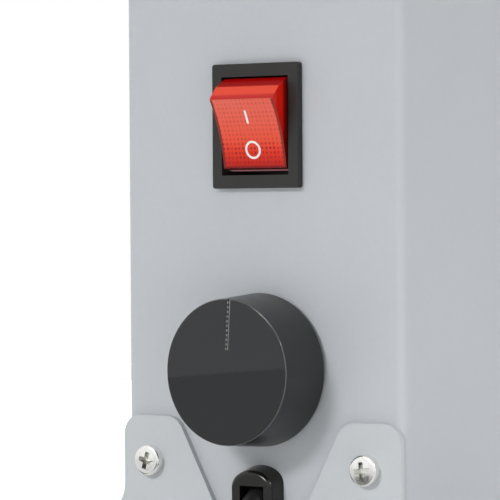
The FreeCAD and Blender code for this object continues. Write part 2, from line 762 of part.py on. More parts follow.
def control_partition():
    """Wall between the control compartment and the spool chamber."""
    low = BOTTOM + FLANGE + SEAM
    top = TOP - BEND - SEAM
    narrow = NEST - SHEET - BEND
    wall = channel(-NEST, NEST, PARTITION - FLANGE, CHAMBER_FRONT, level(low), V(0, 0, top - low))
    tongue = block(-narrow, narrow, PARTITION, CHAMBER_FRONT, PAN_FLOOR, low)
    cutters = holes(WIRE_HOLE, [V(0, PARTITION, PASS_Z)], V(0, 1, 0))
    cutters += holes(SMALL_SCREW + HOLE_FIT, deck_screw_points(PARTITION), V(0, 1, 0))
    cutters += holes(RIVET_TAIL + HOLE_FIT, all_rivet_points(False), V(1, 0, 0))
    return wall.fuse(tongue).cut(cutters).removeSplitter()


def air_deck():
    """Slotted floor of the spool chamber, hung between the partition and the rear panel."""
    half = NEST - BEND - SEAM
    deck = channel(CHAMBER_FRONT, CHAMBER_REAR, DECK_Z - FLANGE, DECK_Z, along(-half), V(2 * half, 0, 0))
    rows = int((CHAMBER_LENGTH - 4 * FLANGE) // DECK_SLOT_PITCH)
    first = CHAMBER_MID - (rows - 1) * DECK_SLOT_PITCH / 2
    under = level(DECK_Z - 2 * SHEET)
    cutters = []
    for row in range(rows):
        y = first + row * DECK_SLOT_PITCH
        for column in (-1, 0, 1):
            x = column * DECK_COLUMN_PITCH
            cutters.append(slot(x, y, DECK_SLOT_LENGTH, DECK_SLOT_WIDTH, under, V(0, 0, 3 * SHEET)))
    for face in (CHAMBER_FRONT, CHAMBER_REAR):
        cutters += holes(SMALL_SCREW + HOLE_FIT, deck_screw_points(face), V(0, 1, 0))
    cutters += holes(SMALL_SCREW + HOLE_FIT, cradle_screw_points(), V(0, 0, 1))
    return deck.cut(cutters)


def cabinet_screws():
    """Small screws that hold the sides, the deck, the cradles, the thermostat and the fan."""
    solids = [small_screw(seat, V(math.copysign(1, seat.x), 0, 0)) for seat in mirrored(side_screw_points())]
    solids += [small_screw(seat, V(0, -1, 0)) for seat in deck_screw_points(PARTITION) + stat_screw_points()]
    solids += [small_screw(seat, V(0, 1, 0)) for seat in deck_screw_points(REAR)]
    solids += [small_screw(seat, V(0, 0, 1)) for seat in cradle_screw_points()]
    solids += [small_screw(seat, V(0, 0, 1), FAN_DEPTH + SHEET) for seat in fan_screw_points()]
    return Part.makeCompound(solids)


# Window

def window_pane():
    return window_cut(-SEAL_WEB, HALF - SHEET, HALF - SHEET + PANE)


def window_seal():
    """Rubber section with a groove for the sheet's edge and one for the pane's edge."""
    back = HALF - SHEET - SEAL_CHEEK
    face = HALF - SHEET + PANE + SEAL_CHEEK
    seal = window_cut(SEAL_LIP, back, face).cut(window_cut(-SEAL_WEB - SEAL_LIP, back - SHEET, face + SHEET))
    sheet = window_cut(SEAL_LIP + SHEET, INNER, HALF).cut(window_cut(0, INNER, HALF))
    outside = window_cut(SEAL_LIP + SHEET, HALF + SEAL_CHEEK, face + SHEET)
    shoulder = outside.cut(window_cut(0, HALF + SEAL_CHEEK, face + SHEET))
    return seal.cut([sheet, shoulder, window_pane()])


# Lid

def lid_space(inset):
    """Outside of the lid at no inset, its inside at one sheet."""
    solid = block(inset - HALF, HALF - inset, FRONT + inset, REAR - inset,
                  LID_BOTTOM + inset, LID_TOP - inset)
    return solid.makeFillet(BEND - inset, solid.Edges)


def lid():
    """Shallow folded lid with a turned-in rim that sits on the gasket."""
    shell = lid_space(0).cut(lid_space(SHEET))
    mouth = block(RIM - HALF, HALF - RIM, FRONT + RIM, REAR - RIM, LID_BOTTOM - SHEET, LID_BOTTOM + 2 * SHEET)
    cutters = [mouth]
    cutters += holes(RIVET + HOLE_FIT, all_rivet_points(True), V(1, 0, 0))
    cutters += holes(SMALL_SCREW + HOLE_FIT, pull_screw_points(), V(1, 0, 0))
    return shell.cut(cutters)


def lid_gasket():
    """Foam strip on the rim, all the way round."""
    outer = RIM - SEAM - GASKET_WIDTH
    inner = RIM - SEAM

    def loop(inset):
        corners = rectangle(0, BODY_MID, BODY_WIDTH - 2 * inset, BODY_LENGTH - 2 * inset, BEND)
        return plate(corners, level(TOP), V(0, 0, GASKET))

    return loop(outer).cut(loop(inner))


def hinge_leaf(middle, upper):
    """Leaf with its knuckles: two at the ends of the body leaf, one in the lid leaf's middle."""
    third = HINGE_LENGTH / 3
    first = middle - HINGE_LENGTH / 2
    spans = [(first + third + LEAF_GAP, first + 2 * third - LEAF_GAP)]
    others = [(first, first + third), (first + 2 * third, first + HINGE_LENGTH)]
    if not upper:
        spans, others = others, spans
    far = HINGE_Z + LEAF_HEIGHT if upper else HINGE_Z - LEAF_HEIGHT
    leaf = block(-HALF - LEAF, -HALF, first, first + HINGE_LENGTH, min(HINGE_Z, far), max(HINGE_Z, far))
    knuckles = [rod(KNUCKLE, V(HINGE_X, y0, HINGE_Z), V(HINGE_X, y1, HINGE_Z)) for y0, y1 in spans]
    room = KNUCKLE + LEAF_GAP
    clear = []
    for y0, y1 in others:
        start = V(HINGE_X, y0 - LEAF_GAP, HINGE_Z)
        end = V(HINGE_X, y1 + LEAF_GAP, HINGE_Z)
        clear.append(rod(room, start, end))
        clear.append(block(-HALF - LEAF, -HALF, start.y, end.y, HINGE_Z - room, HINGE_Z + room))
    drilled = holes(RIVET + HOLE_FIT, leaf_rivet_points(middle, upper), V(1, 0, 0))
    bore_start = V(HINGE_X, first - OVERRUN, HINGE_Z)
    drilled.append(rod(PIN + RUNNING, bore_start, bore_start + V(0, HINGE_LENGTH + 2 * OVERRUN, 0)))
    return leaf.cut(clear).fuse(knuckles).cut(drilled).removeSplitter()


def hinge_pins():
    """Pins with a flat head at each end, outside the knuckles."""
    half = HINGE_LENGTH / 2
    solids = []
    for middle in hinge_middles():
        first = V(HINGE_X, middle - half, HINGE_Z)
        last = V(HINGE_X, middle + half, HINGE_Z)
        heads = [rod(PIN_HEAD, first - V(0, SHEET, 0), first), rod(PIN_HEAD, last, last + V(0, SHEET, 0))]
        solids.append(rod(PIN, first, last).fuse(heads))
    return Part.makeCompound(solids)


def leaf_rivets(upper):
    solids = [rivet(seat, V(-1, 0, 0), LEAF + SHEET) for seat in all_rivet_points(upper)]
    return Part.makeCompound(solids)


def lid_pull():
    """Moulded finger lip on the lid's free edge."""
    top = LID_TOP - BEND
    low = LID_BOTTOM + BEND
    tip = HALF + PULL_REACH
    corners = [
        (HALF, top, 0), (HALF, low, 0), (HALF + PULL_FOOT, low, PULL_EDGE),
        (HALF + PULL_HOLLOW, (low + top) / 2, PULL_TIP), (tip, top - PULL_TIP, PULL_EDGE),
        (tip, top, PULL_EDGE),
    ]
    start = BODY_MID - PULL_LENGTH / 2
    lip = plate(corners, across(start), V(0, PULL_LENGTH, 0))
    sockets = holes(SMALL_SCREW + RUNNING, pull_screw_points(), V(1, 0, 0))
    limit = block(HALF - OVERRUN, HALF + PULL_FOOT + PULL_EDGE, start, start + PULL_LENGTH, low, top)
    return lip.cut([socket.common(limit) for socket in sockets])


def pull_screws():
    reach = SHEET + PULL_FOOT
    return Part.makeCompound([small_screw(seat, V(-1, 0, 0), reach) for seat in pull_screw_points()])


def magnet_catches():
    """Two magnet blocks under the rim on the lid's free side."""
    solids = []
    for side in (-1, 1):
        y = BODY_MID + side * CATCH_SPACING / 2
        catch = block(INNER - CATCH_DEPTH, INNER, y - CATCH_LENGTH / 2, y + CATCH_LENGTH / 2,
                      TOP - BEND - CATCH_SIZE, TOP - BEND)
        solids.append(rounded(catch, SHEET, lambda edge: edge.XMax < INNER - TINY and edge.YLength < TINY))
    return Part.makeCompound(solids)


# Feet

def foot(face, outward):
    """Folded foot plate: two ears against the box, flared arms and a turned-in sole."""
    root = (HALF, ARM_ROOT, ARM_ROUND)
    tip = (FOOT_HALF, PAD_HEIGHT + ARM_TIP, TIP_ROUND)
    sole = (FOOT_HALF, PAD_HEIGHT, 0)
    ear_out = (HALF, EAR_TOP, EAR_OUTER_ROUND)
    ear_in = (EAR_INNER, EAR_TOP, EAR_INNER_ROUND)
    right = [sole, tip, root, ear_out, ear_in]
    left = [(-x, z, radius) for x, z, radius in reversed(right)]
    notch = (0, EAR_TOP - EAR_INNER / NOTCH_SLOPE, NOTCH_ROUND)
    front = plate(right + [notch] + left, across(face), V(0, outward * FOOT_SHEET, 0))
    edge_y = face + outward * FOOT_SHEET
    end_y = face - outward * FOOT_FLANGE
    corners = [(-FOOT_HALF, edge_y, 0), (FOOT_HALF, edge_y, 0),
               (FOOT_HALF, end_y, TIP_ROUND), (-FOOT_HALF, end_y, TIP_ROUND)]
    bottom = plate(corners, level(PAD_HEIGHT), V(0, 0, FOOT_SHEET))
    body = front.fuse(bottom).removeSplitter()

    def fold(edge):
        outside = abs(edge.YMin - edge_y) < TINY and abs(edge.ZMax - PAD_HEIGHT) < TINY
        return outside and edge.XLength > FOOT_HALF

    body = rounded(body, FOOT_SHEET, fold)
    cutters = holes(SCREW + HOLE_FIT, foot_screw_points(face), V(0, 1, 0))
    cutters += holes(PAD_STEM + HOLE_FIT, pad_points(), V(0, 0, 1))
    return body.cut(cutters)


def foot_pads():
    """Rubber pads, each with a stem and button through the sole."""
    button = SOLE_TOP + FOOT_SHEET
    pad = turned([
        (0, 0, 0), (PAD, 0, PAD_EDGE), (PAD_TOP, PAD_HEIGHT, PAD_EDGE / 2), (PAD_STEM, PAD_HEIGHT, 0),
        (PAD_STEM, SOLE_TOP, 0), (PAD_BUTTON, SOLE_TOP, PAD_EDGE / 2), (PAD_STEM, button, PAD_EDGE / 2),
        (0, button, 0),
    ])
    return Part.makeCompound([aimed(pad, point, V(0, 0, 1)) for point in pad_points()])


def foot_screws():
    solids = [foot_screw(seat, V(0, -1, 0)) for seat in foot_screw_points(FRONT - FOOT_SHEET)]
    solids += [foot_screw(seat, V(0, 1, 0)) for seat in foot_screw_points(REAR + FOOT_SHEET)]
    return Part.makeCompound(solids)


def foot_nuts():
    """Round nuts clinched behind the sheet."""
    solids = []
    for seat in foot_screw_points(INSIDE):
        solids.append(rod(NUT, seat, seat + V(0, NUT_LENGTH, 0)))
    for seat in foot_screw_points(CHAMBER_REAR):
        solids.append(rod(NUT, seat, seat - V(0, NUT_LENGTH, 0)))
    bores = holes(SCREW + RUNNING, foot_screw_points(FRONT) + foot_screw_points(REAR), V(0, 1, 0))
    return Part.makeCompound([solid.cut(bores) for solid in solids])


# Switch

def switch_housing():
    """Snap-in housing: bezel, body behind the panel, rocker well and snap wings."""
    bezel = plate(rectangle(0, SWITCH_Z, BEZEL_WIDTH, BEZEL_HEIGHT, BEZEL_CORNER),
                  across(FRONT - BEZEL), V(0, BEZEL, 0))
    bezel = rounded(bezel, BEZEL_EDGE, lambda edge: edge.YMax < FRONT - BEZEL + TINY)
    half = SWITCH_BODY_WIDTH / 2
    body = block(-half, half, FRONT, FRONT + SWITCH_BODY_DEPTH,
                 SWITCH_Z - SWITCH_BODY_HEIGHT / 2, SWITCH_Z + SWITCH_BODY_HEIGHT / 2)
    wings = []
    for side in (-1, 1):
        corners = [(side * half, INSIDE + SEAM, 0), (side * (half + WING), INSIDE + SEAM, 0),
                   (side * half, INSIDE + SEAM + WING_LENGTH, 0)]
        if side < 0:
            corners.reverse()
        wings.append(plate(corners, level(SWITCH_Z - BEZEL_HEIGHT / 4), V(0, 0, BEZEL_HEIGHT / 2)))
    well = block(-WELL_WIDTH / 2, WELL_WIDTH / 2, FRONT - OVERRUN, FRONT + WELL_DEPTH,
                 SWITCH_Z - WELL_HEIGHT / 2, SWITCH_Z + WELL_HEIGHT / 2)
    reach = ROCKER_WIDTH / 2 + PIVOT_REACH + SEAM
    pivot = rod(PIVOT + RUNNING, V(-reach, PIVOT_Y, SWITCH_Z), V(reach, PIVOT_Y, SWITCH_Z))
    return bezel.fuse([body] + wings).cut([well, pivot]).removeSplitter().translated(SWITCH_SHIFT)


def switch_rocker():
    """Rocker with a dished face, chamfered ends, hollow back and pivot pins, at its O end."""

    def place(out, rise):
        return V(0, PIVOT_Y - out, SWITCH_Z + rise)

    upper = [(RIDGE_OUT, RIDGE_ALONG), (BREAK_OUT, BREAK_ALONG), (FACET_OUT, FACET_ALONG),
             (-HEEL_OUT, HEEL_ALONG), (-ROCKER_BACK, HEEL_ALONG - HEEL_DRAFT)]
    rim = [place(out, rise) for out, rise in upper]
    rim += [place(out, -rise) for out, rise in reversed(upper)]
    edges = [Part.LineSegment(rim[index], rim[index + 1]).toShape() for index in range(len(rim) - 1)]
    edges.append(Part.Arc(rim[-1], place(RIDGE_OUT - ROCKER_DISH, 0), rim[0]).toShape())
    half = ROCKER_WIDTH / 2
    profile = Part.Face(Part.Wire(edges)).extrude(V(ROCKER_WIDTH, 0, 0))
    profile.translate(V(-half, 0, 0))
    face_half = ROCKER_FACE_WIDTH / 2
    crest = PIVOT_Y - RIDGE_OUT
    right = [(half, PIVOT_Y + OVERRUN, 0), (half, PIVOT_Y, 0),
             (face_half, crest, 0), (face_half, crest - SHEET, 0)]
    left = [(-x, y, radius) for x, y, radius in reversed(right)]
    draft = right + left
    rocker = profile.common(plate(draft, level(SWITCH_Z - OVERRUN), V(0, 0, 2 * OVERRUN)))
    hollow_x = half - 2 * ROCKER_WALL
    hollow_z = FACET_ALONG - 2 * ROCKER_WALL
    hollow = block(-hollow_x, hollow_x, crest + ROCKER_DISH + ROCKER_WALL, PIVOT_Y + OVERRUN,
                   SWITCH_Z - hollow_z, SWITCH_Z + hollow_z)
    pin = rod(PIVOT, V(-half - PIVOT_REACH, PIVOT_Y, SWITCH_Z), V(half + PIVOT_REACH, PIVOT_Y, SWITCH_Z))
    rocker = rocker.cut(hollow).fuse(pin).removeSplitter()
    rocker.rotate(V(0, PIVOT_Y, SWITCH_Z), V(1, 0, 0), ROCKER_TILT)
    return rocker.translated(SWITCH_SHIFT)


def switch_terminals():
    back = FRONT + SWITCH_BODY_DEPTH
    solids = []
    for x in (-BLADE_X, BLADE_X):
        for z in (SWITCH_Z - BLADE_Z, SWITCH_Z + BLADE_Z):
            solids.append(block(x - BLADE_WIDTH / 2, x + BLADE_WIDTH / 2, back, back + BLADE_LENGTH,
                                z - BLADE / 2, z + BLADE / 2))
    return Part.makeCompound(solids).translated(SWITCH_SHIFT)


# Thermostat

def shaft_flat(gap, start, end):
    """Space above the shaft's flat, raised by a gap, between two depths."""
    return block(-HUB, HUB, start, end, KNOB_Z + SHAFT_FLAT + gap, KNOB_Z + HUB)


def set_pointer(shape):
    """Turns the knob or its shaft to where the pointer stands, on the knob's axis."""
    shape.rotate(V(0, FRONT, KNOB_Z), V(0, 1, 0), POINTER_TURN)
    return shape.translated(KNOB_SHIFT)


def control_knob():
    """Hollow knob: a slightly tapered cap with a hub on the shaft and an engraved pointer line."""
    taper = (KNOB_BASE - KNOB_FRONT) / (KNOB_REACH - KNOB_GAP)
    ceiling = KNOB_REACH - KNOB_TOP
    shape = turned([
        (0, KNOB_REACH, 0), (0, HUB_GAP, 0), (HUB, HUB_GAP, KNOB_EDGE), (HUB, ceiling, KNOB_ROOT),
        (KNOB_FRONT + taper * KNOB_TOP - KNOB_WALL, ceiling, KNOB_ROOT), (KNOB_BASE - KNOB_WALL, KNOB_GAP, 0),
        (KNOB_BASE, KNOB_GAP, KNOB_EDGE), (KNOB_FRONT, KNOB_REACH, KNOB_EDGE),
    ])
    knob = aimed(shape, V(0, FRONT, KNOB_Z), V(0, -1, 0))
    front = FRONT - KNOB_REACH
    inner = FRONT - ceiling + SHEET
    bore = rod(SHAFT + RUNNING, V(0, inner, KNOB_Z), V(0, FRONT, KNOB_Z))
    bore = bore.cut(shaft_flat(RUNNING, front, FRONT + SHEET))
    pointer = block(-POINTER_WIDTH / 2, POINTER_WIDTH / 2, front - SHEET, front + POINTER_DEPTH,
                    KNOB_Z + POINTER_START, KNOB_Z + KNOB_BASE + SHEET)
    return set_pointer(knob.cut([bore, pointer]))


def thermostat_shaft():
    """Round shaft with a flat where the knob grips it."""
    tip = FRONT - KNOB_REACH + KNOB_TOP + SHAFT_END
    shaft = rod(SHAFT, V(0, STAT_FRONT + SHAFT_SEAT, KNOB_Z), V(0, tip, KNOB_Z))
    return set_pointer(shaft.cut(shaft_flat(0, tip - SHEET, FRONT - HUB_GAP + SHEET)))


def thermostat_body():
    """Control body behind its fixing plate, bored for the shaft."""
    half = STAT_WIDTH / 2
    body = block(-half, half, STAT_FRONT, STAT_FRONT + STAT_DEPTH,
                 KNOB_Z - STAT_HEIGHT / 2, KNOB_Z + STAT_HEIGHT / 2)
    body = rounded(body, BEND, lambda edge: edge.XLength < TINY and edge.ZLength < TINY)
    shape = rectangle(0, KNOB_Z, STAT_WIDTH, STAT_PLATE_HEIGHT, BEND)
    fixing = plate(shape, across(INSIDE), V(0, STAT_PLATE, 0))
    front = V(KNOB_X, FRONT, KNOB_Z)
    cutters = [rod(SHAFT + RUNNING, front, V(KNOB_X, STAT_FRONT + SHAFT_SEAT + SEAM, KNOB_Z))]
    for seat in stat_screw_points():
        cutters.append(rod(SMALL_SCREW + RUNNING, seat, seat + V(0, SMALL_LENGTH + SHEET, 0)))
    return body.fuse(fixing).translated(KNOB_SHIFT).cut(cutters).removeSplitter()


def sensing_bulb():
    """Capillary from the thermostat, through the partition, to a bulb under the air deck."""
    back = STAT_FRONT + STAT_DEPTH
    low = KNOB_Z - STAT_HEIGHT / 4
    pass_z = PASS_Z + CAPILLARY_RISE
    bulb = V(BULB_X, CHAMBER_FRONT + BULB_START, DECK_Z - SHEET - BULB - BULB_FIT)
    stub = V(0, CAPILLARY_STUB, 0)
    points = [
        V(0, back, low), V(0, back, low) + stub,
        V(0, PARTITION - CAPILLARY_PASS, pass_z), V(0, CHAMBER_FRONT + CAPILLARY_PASS, pass_z),
        bulb - stub * 2 - V(BULB_X / 3, 0, BULB), bulb - stub, bulb,
    ]
    path, radii = route(points)
    capillary = tube(path, CAPILLARY, points[0], points[1] - points[0])
    return capillary.fuse(rod(BULB, bulb, bulb + V(0, BULB_LENGTH, 0)))


# Rollers

def roller_axle(y):
    reach = CRADLE_X + CRADLE_SHEET + BUSH_RIM
    return rod(AXLE, V(-reach, y, ROLLER_Z), V(reach, y, ROLLER_Z))


def roller_core(y):
    """Spool roller: end flanges, a waist, and seats for the two tyres."""
    half = ROLLER_LENGTH / 2
    seat = ROLLER_CORE - TYRE_SEAT
    waist = ROLLER_CORE - ROLLER_WAIST
    start = half - ROLLER_LIP
    end = start - TYRE_WIDTH
    right = [
        (waist, end - WAIST_RUN, ROLLER_WAIST), (ROLLER_CORE, end, 0), (seat, end, 0), (seat, start, 0),
        (ROLLER_CORE, start, 0), (ROLLER_CORE, half, TYRE_EDGE), (AXLE + RUNNING, half, 0),
    ]
    left = [(radius, -place, rounding) for radius, place, rounding in reversed(right)]
    core = turned(left + right)
    return aimed(core, V(0, y, ROLLER_Z), V(1, 0, 0))


def roller_tyres(y):
    """Soft rings in the roller's seats, which carry the spool's rims."""
    half = ROLLER_LENGTH / 2
    inner = ROLLER_CORE - TYRE_SEAT + RUNNING
    solids = []
    for seat in (ROLLER_LIP - half, half - ROLLER_LIP - TYRE_WIDTH):
        low = seat + SEAM
        high = seat + TYRE_WIDTH - SEAM
        outside = [(ROLLER, low, TYRE_EDGE), (ROLLER, high, TYRE_EDGE)]
        ring = turned([(inner, low, 0)] + outside + [(inner, high, 0)])
        solids.append(aimed(ring, V(0, y, ROLLER_Z), V(1, 0, 0)))
    return Part.makeCompound(solids)


def roller_cradle(side):
    """Folded bracket along the deck that carries one end of both rollers."""
    inner = CRADLE_X
    outer = CRADLE_X + CRADLE_SHEET
    start = CHAMBER_MID - CRADLE_LENGTH / 2
    corners = [(inner - CRADLE_SOLE, DECK_Z, 0), (outer, DECK_Z, BEND), (outer, DECK_Z + CRADLE_HEIGHT, 0),
               (inner, DECK_Z + CRADLE_HEIGHT, 0), (inner, DECK_Z + CRADLE_SHEET, BEND - SHEET),
               (inner - CRADLE_SOLE, DECK_Z + CRADLE_SHEET, 0)]
    bracket = plate(corners, across(start), V(0, CRADLE_LENGTH, 0))

    def top_corner(edge):
        return edge.ZMin > DECK_Z + CRADLE_HEIGHT - TINY and edge.YLength < TINY

    bracket = rounded(bracket, CRADLE_HEIGHT / 3, top_corner)
    if side < 0:
        bracket = bracket.mirror(V(0, 0, 0), V(1, 0, 0))
    seats = [V(side * CRADLE_X, y, ROLLER_Z) for y in roller_middles().values()]
    cutters = holes(BUSH + RUNNING, seats, V(1, 0, 0))
    cutters += holes(SMALL_SCREW + HOLE_FIT, cradle_screw_points(), V(0, 0, 1))
    return bracket.cut(cutters)


def roller_bushes():
    """Flanged plain bearings in the cradle, flange inside."""
    shape = turned([
        (AXLE + RUNNING, 0, 0), (BUSH_FLANGE, 0, 0), (BUSH_FLANGE, BUSH_RIM, 0),
        (BUSH, BUSH_RIM, 0), (BUSH, BUSH_LENGTH, 0.3), (AXLE + RUNNING, BUSH_LENGTH, 0),
    ])
    solids = []
    for y in roller_middles().values():
        for side in (-1, 1):
            seat = V(side * (CRADLE_X - BUSH_RIM), y, ROLLER_Z)
            solids.append(aimed(shape, seat, V(side, 0, 0)))
    return Part.makeCompound(solids)


# Warm air

def fan_frame():
    """Square fan frame with a round duct, a bearing hub and three spokes."""
    square = rectangle(0, CHAMBER_MID, FAN_SIZE, FAN_SIZE, FAN_CORNER)
    frame = plate(square, level(PAN_FLOOR), V(0, 0, FAN_DEPTH))
    centre = V(0, CHAMBER_MID, PAN_FLOOR)
    frame = frame.cut(rod(FAN_BORE, centre - V(0, 0, SHEET), centre + V(0, 0, FAN_DEPTH + SHEET)))
    spider = [rod(FAN_HUB, centre, centre + V(0, 0, FAN_SPIDER))]
    for index in range(FAN_SPOKES):
        spoke = block(0, FAN_BORE + SHEET, -FAN_SPOKE / 2, FAN_SPOKE / 2, 0, FAN_SPIDER)
        spoke.rotate(V(0, 0, 0), V(0, 0, 1), FAN_SPOKE_TURN + 360 * index / FAN_SPOKES)
        spoke.translate(centre)
        spider.append(spoke)
    cutters = holes(SMALL_SCREW + HOLE_FIT, fan_screw_points(), V(0, 0, 1))
    cutters.append(rod(FAN_SPINDLE + RUNNING, centre - V(0, 0, SHEET), centre + V(0, 0, FAN_DEPTH)))
    return frame.fuse(spider).cut(cutters).removeSplitter()


def fan_rotor():
    """Impeller: a hub on its spindle with pitched blades."""
    base = PAN_FLOOR + FAN_SPIDER + FAN_TIP_GAP
    top = FAN_TOP - FAN_TIP_GAP
    centre = V(0, CHAMBER_MID, 0)
    hub = rod(FAN_HUB, centre + V(0, 0, base), centre + V(0, 0, top))
    spindle = rod(FAN_SPINDLE, centre + V(0, 0, PAN_FLOOR), centre + V(0, 0, base))
    tip = FAN_BORE - FAN_TIP_GAP
    sweep = rod(tip, centre + V(0, 0, base), centre + V(0, 0, top))
    length = (top - base) / math.sin(math.radians(FAN_PITCH))
    blades = []
    for index in range(FAN_BLADES):
        blade = block(0, tip + SHEET, -length / 2, length / 2, -FAN_BLADE / 2, FAN_BLADE / 2)
        blade.rotate(V(0, 0, 0), V(1, 0, 0), FAN_PITCH)
        blade.rotate(V(0, 0, 0), V(0, 0, 1), 360 * index / FAN_BLADES)
        blade.translate(centre + V(0, 0, (base + top) / 2))
        blades.append(blade.common(sweep))
    return hub.fuse(blades + [spindle]).removeSplitter()


def ptc_heater():
    """Heater core: bars that carry the heating stones, crossed by thin fins."""
    start = CHAMBER_MID - HEATER_LENGTH / 2 + END_CAP
    run = HEATER_LENGTH - 2 * END_CAP
    step = (HEATER_WIDTH - HEATER_BAR) / (HEATER_BARS - 1)
    top = HEATER_BOTTOM + HEATER_HEIGHT
    solids = []
    for index in range(HEATER_BARS):
        x = index * step - HEATER_WIDTH / 2
        solids.append(block(x, x + HEATER_BAR, start, start + run, HEATER_BOTTOM, top))
    count = int((run - FIN) // FIN_PITCH) + 1
    first = CHAMBER_MID - ((count - 1) * FIN_PITCH + FIN) / 2
    for index in range(count):
        y = first + index * FIN_PITCH
        half = HEATER_WIDTH / 2
        solids.append(block(-half, half, y, y + FIN, HEATER_BOTTOM + SHEET, top - SHEET))
    return solids[0].fuse(solids[1:]).removeSplitter()


def heater_end_caps():
    """Moulded caps over the heater's ends."""
    half = HEATER_WIDTH / 2 + END_CAP_EDGE
    solids = []
    for side in (-1, 1):
        near = CHAMBER_MID + side * (HEATER_LENGTH / 2 - END_CAP)
        far = CHAMBER_MID + side * HEATER_LENGTH / 2
        cap = block(-half, half, min(near, far), max(near, far),
                    HEATER_BOTTOM, HEATER_BOTTOM + HEATER_HEIGHT + END_CAP_EDGE)
        solids.append(rounded(cap, SHEET, lambda edge: edge.YLength > TINY))
    return Part.makeCompound(solids)


def heater_brackets():
    """Folded straps from the base pan up under the heater's end caps."""
    floor = PAN_FLOOR + STRAP
    top = HEATER_BOTTOM + HEATER_HEIGHT
    shelf = HEATER_BOTTOM - STRAP
    solids = []
    for side in (-1, 1):
        face = CHAMBER_MID + side * HEATER_LENGTH / 2
        out = face + side * STRAP
        toe = face + side * STRAP_FOOT
        under = face - side * END_CAP
        profile = [
            (toe, PAN_FLOOR, 0), (toe, floor, 0), (out, floor, 0), (out, top, 0), (face, top, 0),
            (face, HEATER_BOTTOM, 0), (under, HEATER_BOTTOM, 0), (under, shelf, 0), (face, shelf, 0),
            (face, PAN_FLOOR, 0),
        ]
        solids.append(plate(profile, along(-STRAP_WIDTH / 2), V(STRAP_WIDTH, 0, 0)))
    return Part.makeCompound(solids)


def thermal_cutout():
    """Round snap-disc cut-out on the rear heater bracket, with two terminals."""
    face = CHAMBER_MID + HEATER_LENGTH / 2 + STRAP
    height = (PAN_FLOOR + STRAP + HEATER_BOTTOM + HEATER_HEIGHT) / 2
    seat = V(0, face, height)
    shape = turned([
        (0, 0, 0), (CUTOUT_RADIUS, 0, 0), (CUTOUT_RADIUS, CUTOUT_FLANGE, 0),
        (CUTOUT_CAP, CUTOUT_FLANGE, 0), (CUTOUT_CAP, CUTOUT_HEIGHT, CUTOUT_EDGE), (0, CUTOUT_HEIGHT, 0),
    ])
    body = aimed(shape, seat, V(0, 1, 0))
    tabs = []
    for side in (-1, 1):
        x = side * CUTOUT_TAB_X
        tabs.append(block(x - BLADE, x + BLADE, face + CUTOUT_HEIGHT, face + CUTOUT_HEIGHT + BLADE_LENGTH,
                          height - BLADE / 2, height + BLADE / 2))
    return body.fuse(tabs)


# Rear outlet

def filament_outlet():
    """Push-fit outlet: hexagon collar outside, neck through the rear panel, bored for a guide tube."""
    seat = V(0, REAR, OUTLET_Z)
    neck_end = CHAMBER_REAR - OUTLET_NUT_LENGTH - SHEET
    collar = hexagon(OUTLET_COLLAR, seat, OUTLET_COLLAR_LENGTH)
    length = OUTLET_REACH - OUTLET_COLLAR_LENGTH
    nose = turned([(0, 0, 0), (OUTLET_NOSE, 0, 0), (OUTLET_NOSE, length, OUTLET_EDGE), (0, length, 0)])
    nose = aimed(nose, seat + V(0, OUTLET_COLLAR_LENGTH, 0), V(0, 1, 0))
    neck = rod(OUTLET_NECK, V(0, neck_end, OUTLET_Z), seat)
    bore = rod(OUTLET_BORE, V(0, neck_end - SHEET, OUTLET_Z), V(0, REAR + OUTLET_REACH + SHEET, OUTLET_Z))
    return collar.fuse([nose, neck]).cut(bore).removeSplitter()


def outlet_nut():
    seat = V(0, CHAMBER_REAR - OUTLET_NUT_LENGTH, OUTLET_Z)
    bore = rod(OUTLET_NECK + RUNNING, seat - V(0, SHEET, 0), seat + V(0, OUTLET_NUT_LENGTH + SHEET, 0))
    return hexagon(OUTLET_NUT, seat, OUTLET_NUT_LENGTH).cut(bore)


# Mains inlet

def hood_outline(half, top, y):
    """Arched hood outline: a flattened round over the top, straight down the sides."""
    spring = top - HOOD_ARCH
    arch = Part.Arc(Part.Ellipse(V(half, y, spring), V(0, y, top), V(0, y, spring)), 0, math.pi)
    corners = [V(-half, y, spring), V(-half, y, HOOD_BOTTOM), V(half, y, HOOD_BOTTOM), V(half, y, spring)]
    sides = [Part.LineSegment(corners[index], corners[index + 1]).toShape() for index in range(3)]
    return Part.Wire([arch.toShape()] + sides)


def cord_bushing():
    """Angled cord grip: arched hood with a slot that turns the cord down, and a neck in the panel."""
    nose_y = FRONT - HOOD_REACH
    base = hood_outline(HOOD_BASE, HOOD_TOP, FRONT)
    nose = hood_outline(HOOD_FRONT, HOOD_TOP - HOOD_DROP, nose_y)
    hood = Part.makeLoft([base, nose], True, True)
    hood = rounded(hood, HOOD_EDGE, lambda edge: edge.YMax < nose_y + TINY and edge.ZLength > TINY)
    neck = rod(BUSH_NECK, V(0, FRONT, NECK_Z), V(0, FRONT + BUSH_NECK_LENGTH, NECK_Z))
    room = CORD + CORD_FIT
    ahead = FRONT - OVERRUN
    high = CORD_EXIT.z + room * EXIT_OUT
    low_y = CORD_EXIT.y + room * EXIT_DOWN
    low_z = CORD_EXIT.z - room * EXIT_OUT
    low_front = low_z - (low_y - FRONT) * EXIT_DOWN / EXIT_OUT
    high_y = CORD_EXIT.y - room * EXIT_DOWN
    way = [(high_y, high, 0), (ahead, high, 0), (ahead, BOTTOM, 0), (FRONT, BOTTOM, 0), (FRONT, low_front, 0),
           (low_y, low_z, 0)]
    slot_cut = plate(way, along(-SLOT_WIDTH / 2), V(SLOT_WIDTH, 0, 0))
    step = block(-HOOD_BASE, HOOD_BASE, ahead, nose_y + LEG_SETBACK, BOTTOM, high)
    return hood.fuse(neck).cut([slot_cut, step]).removeSplitter()


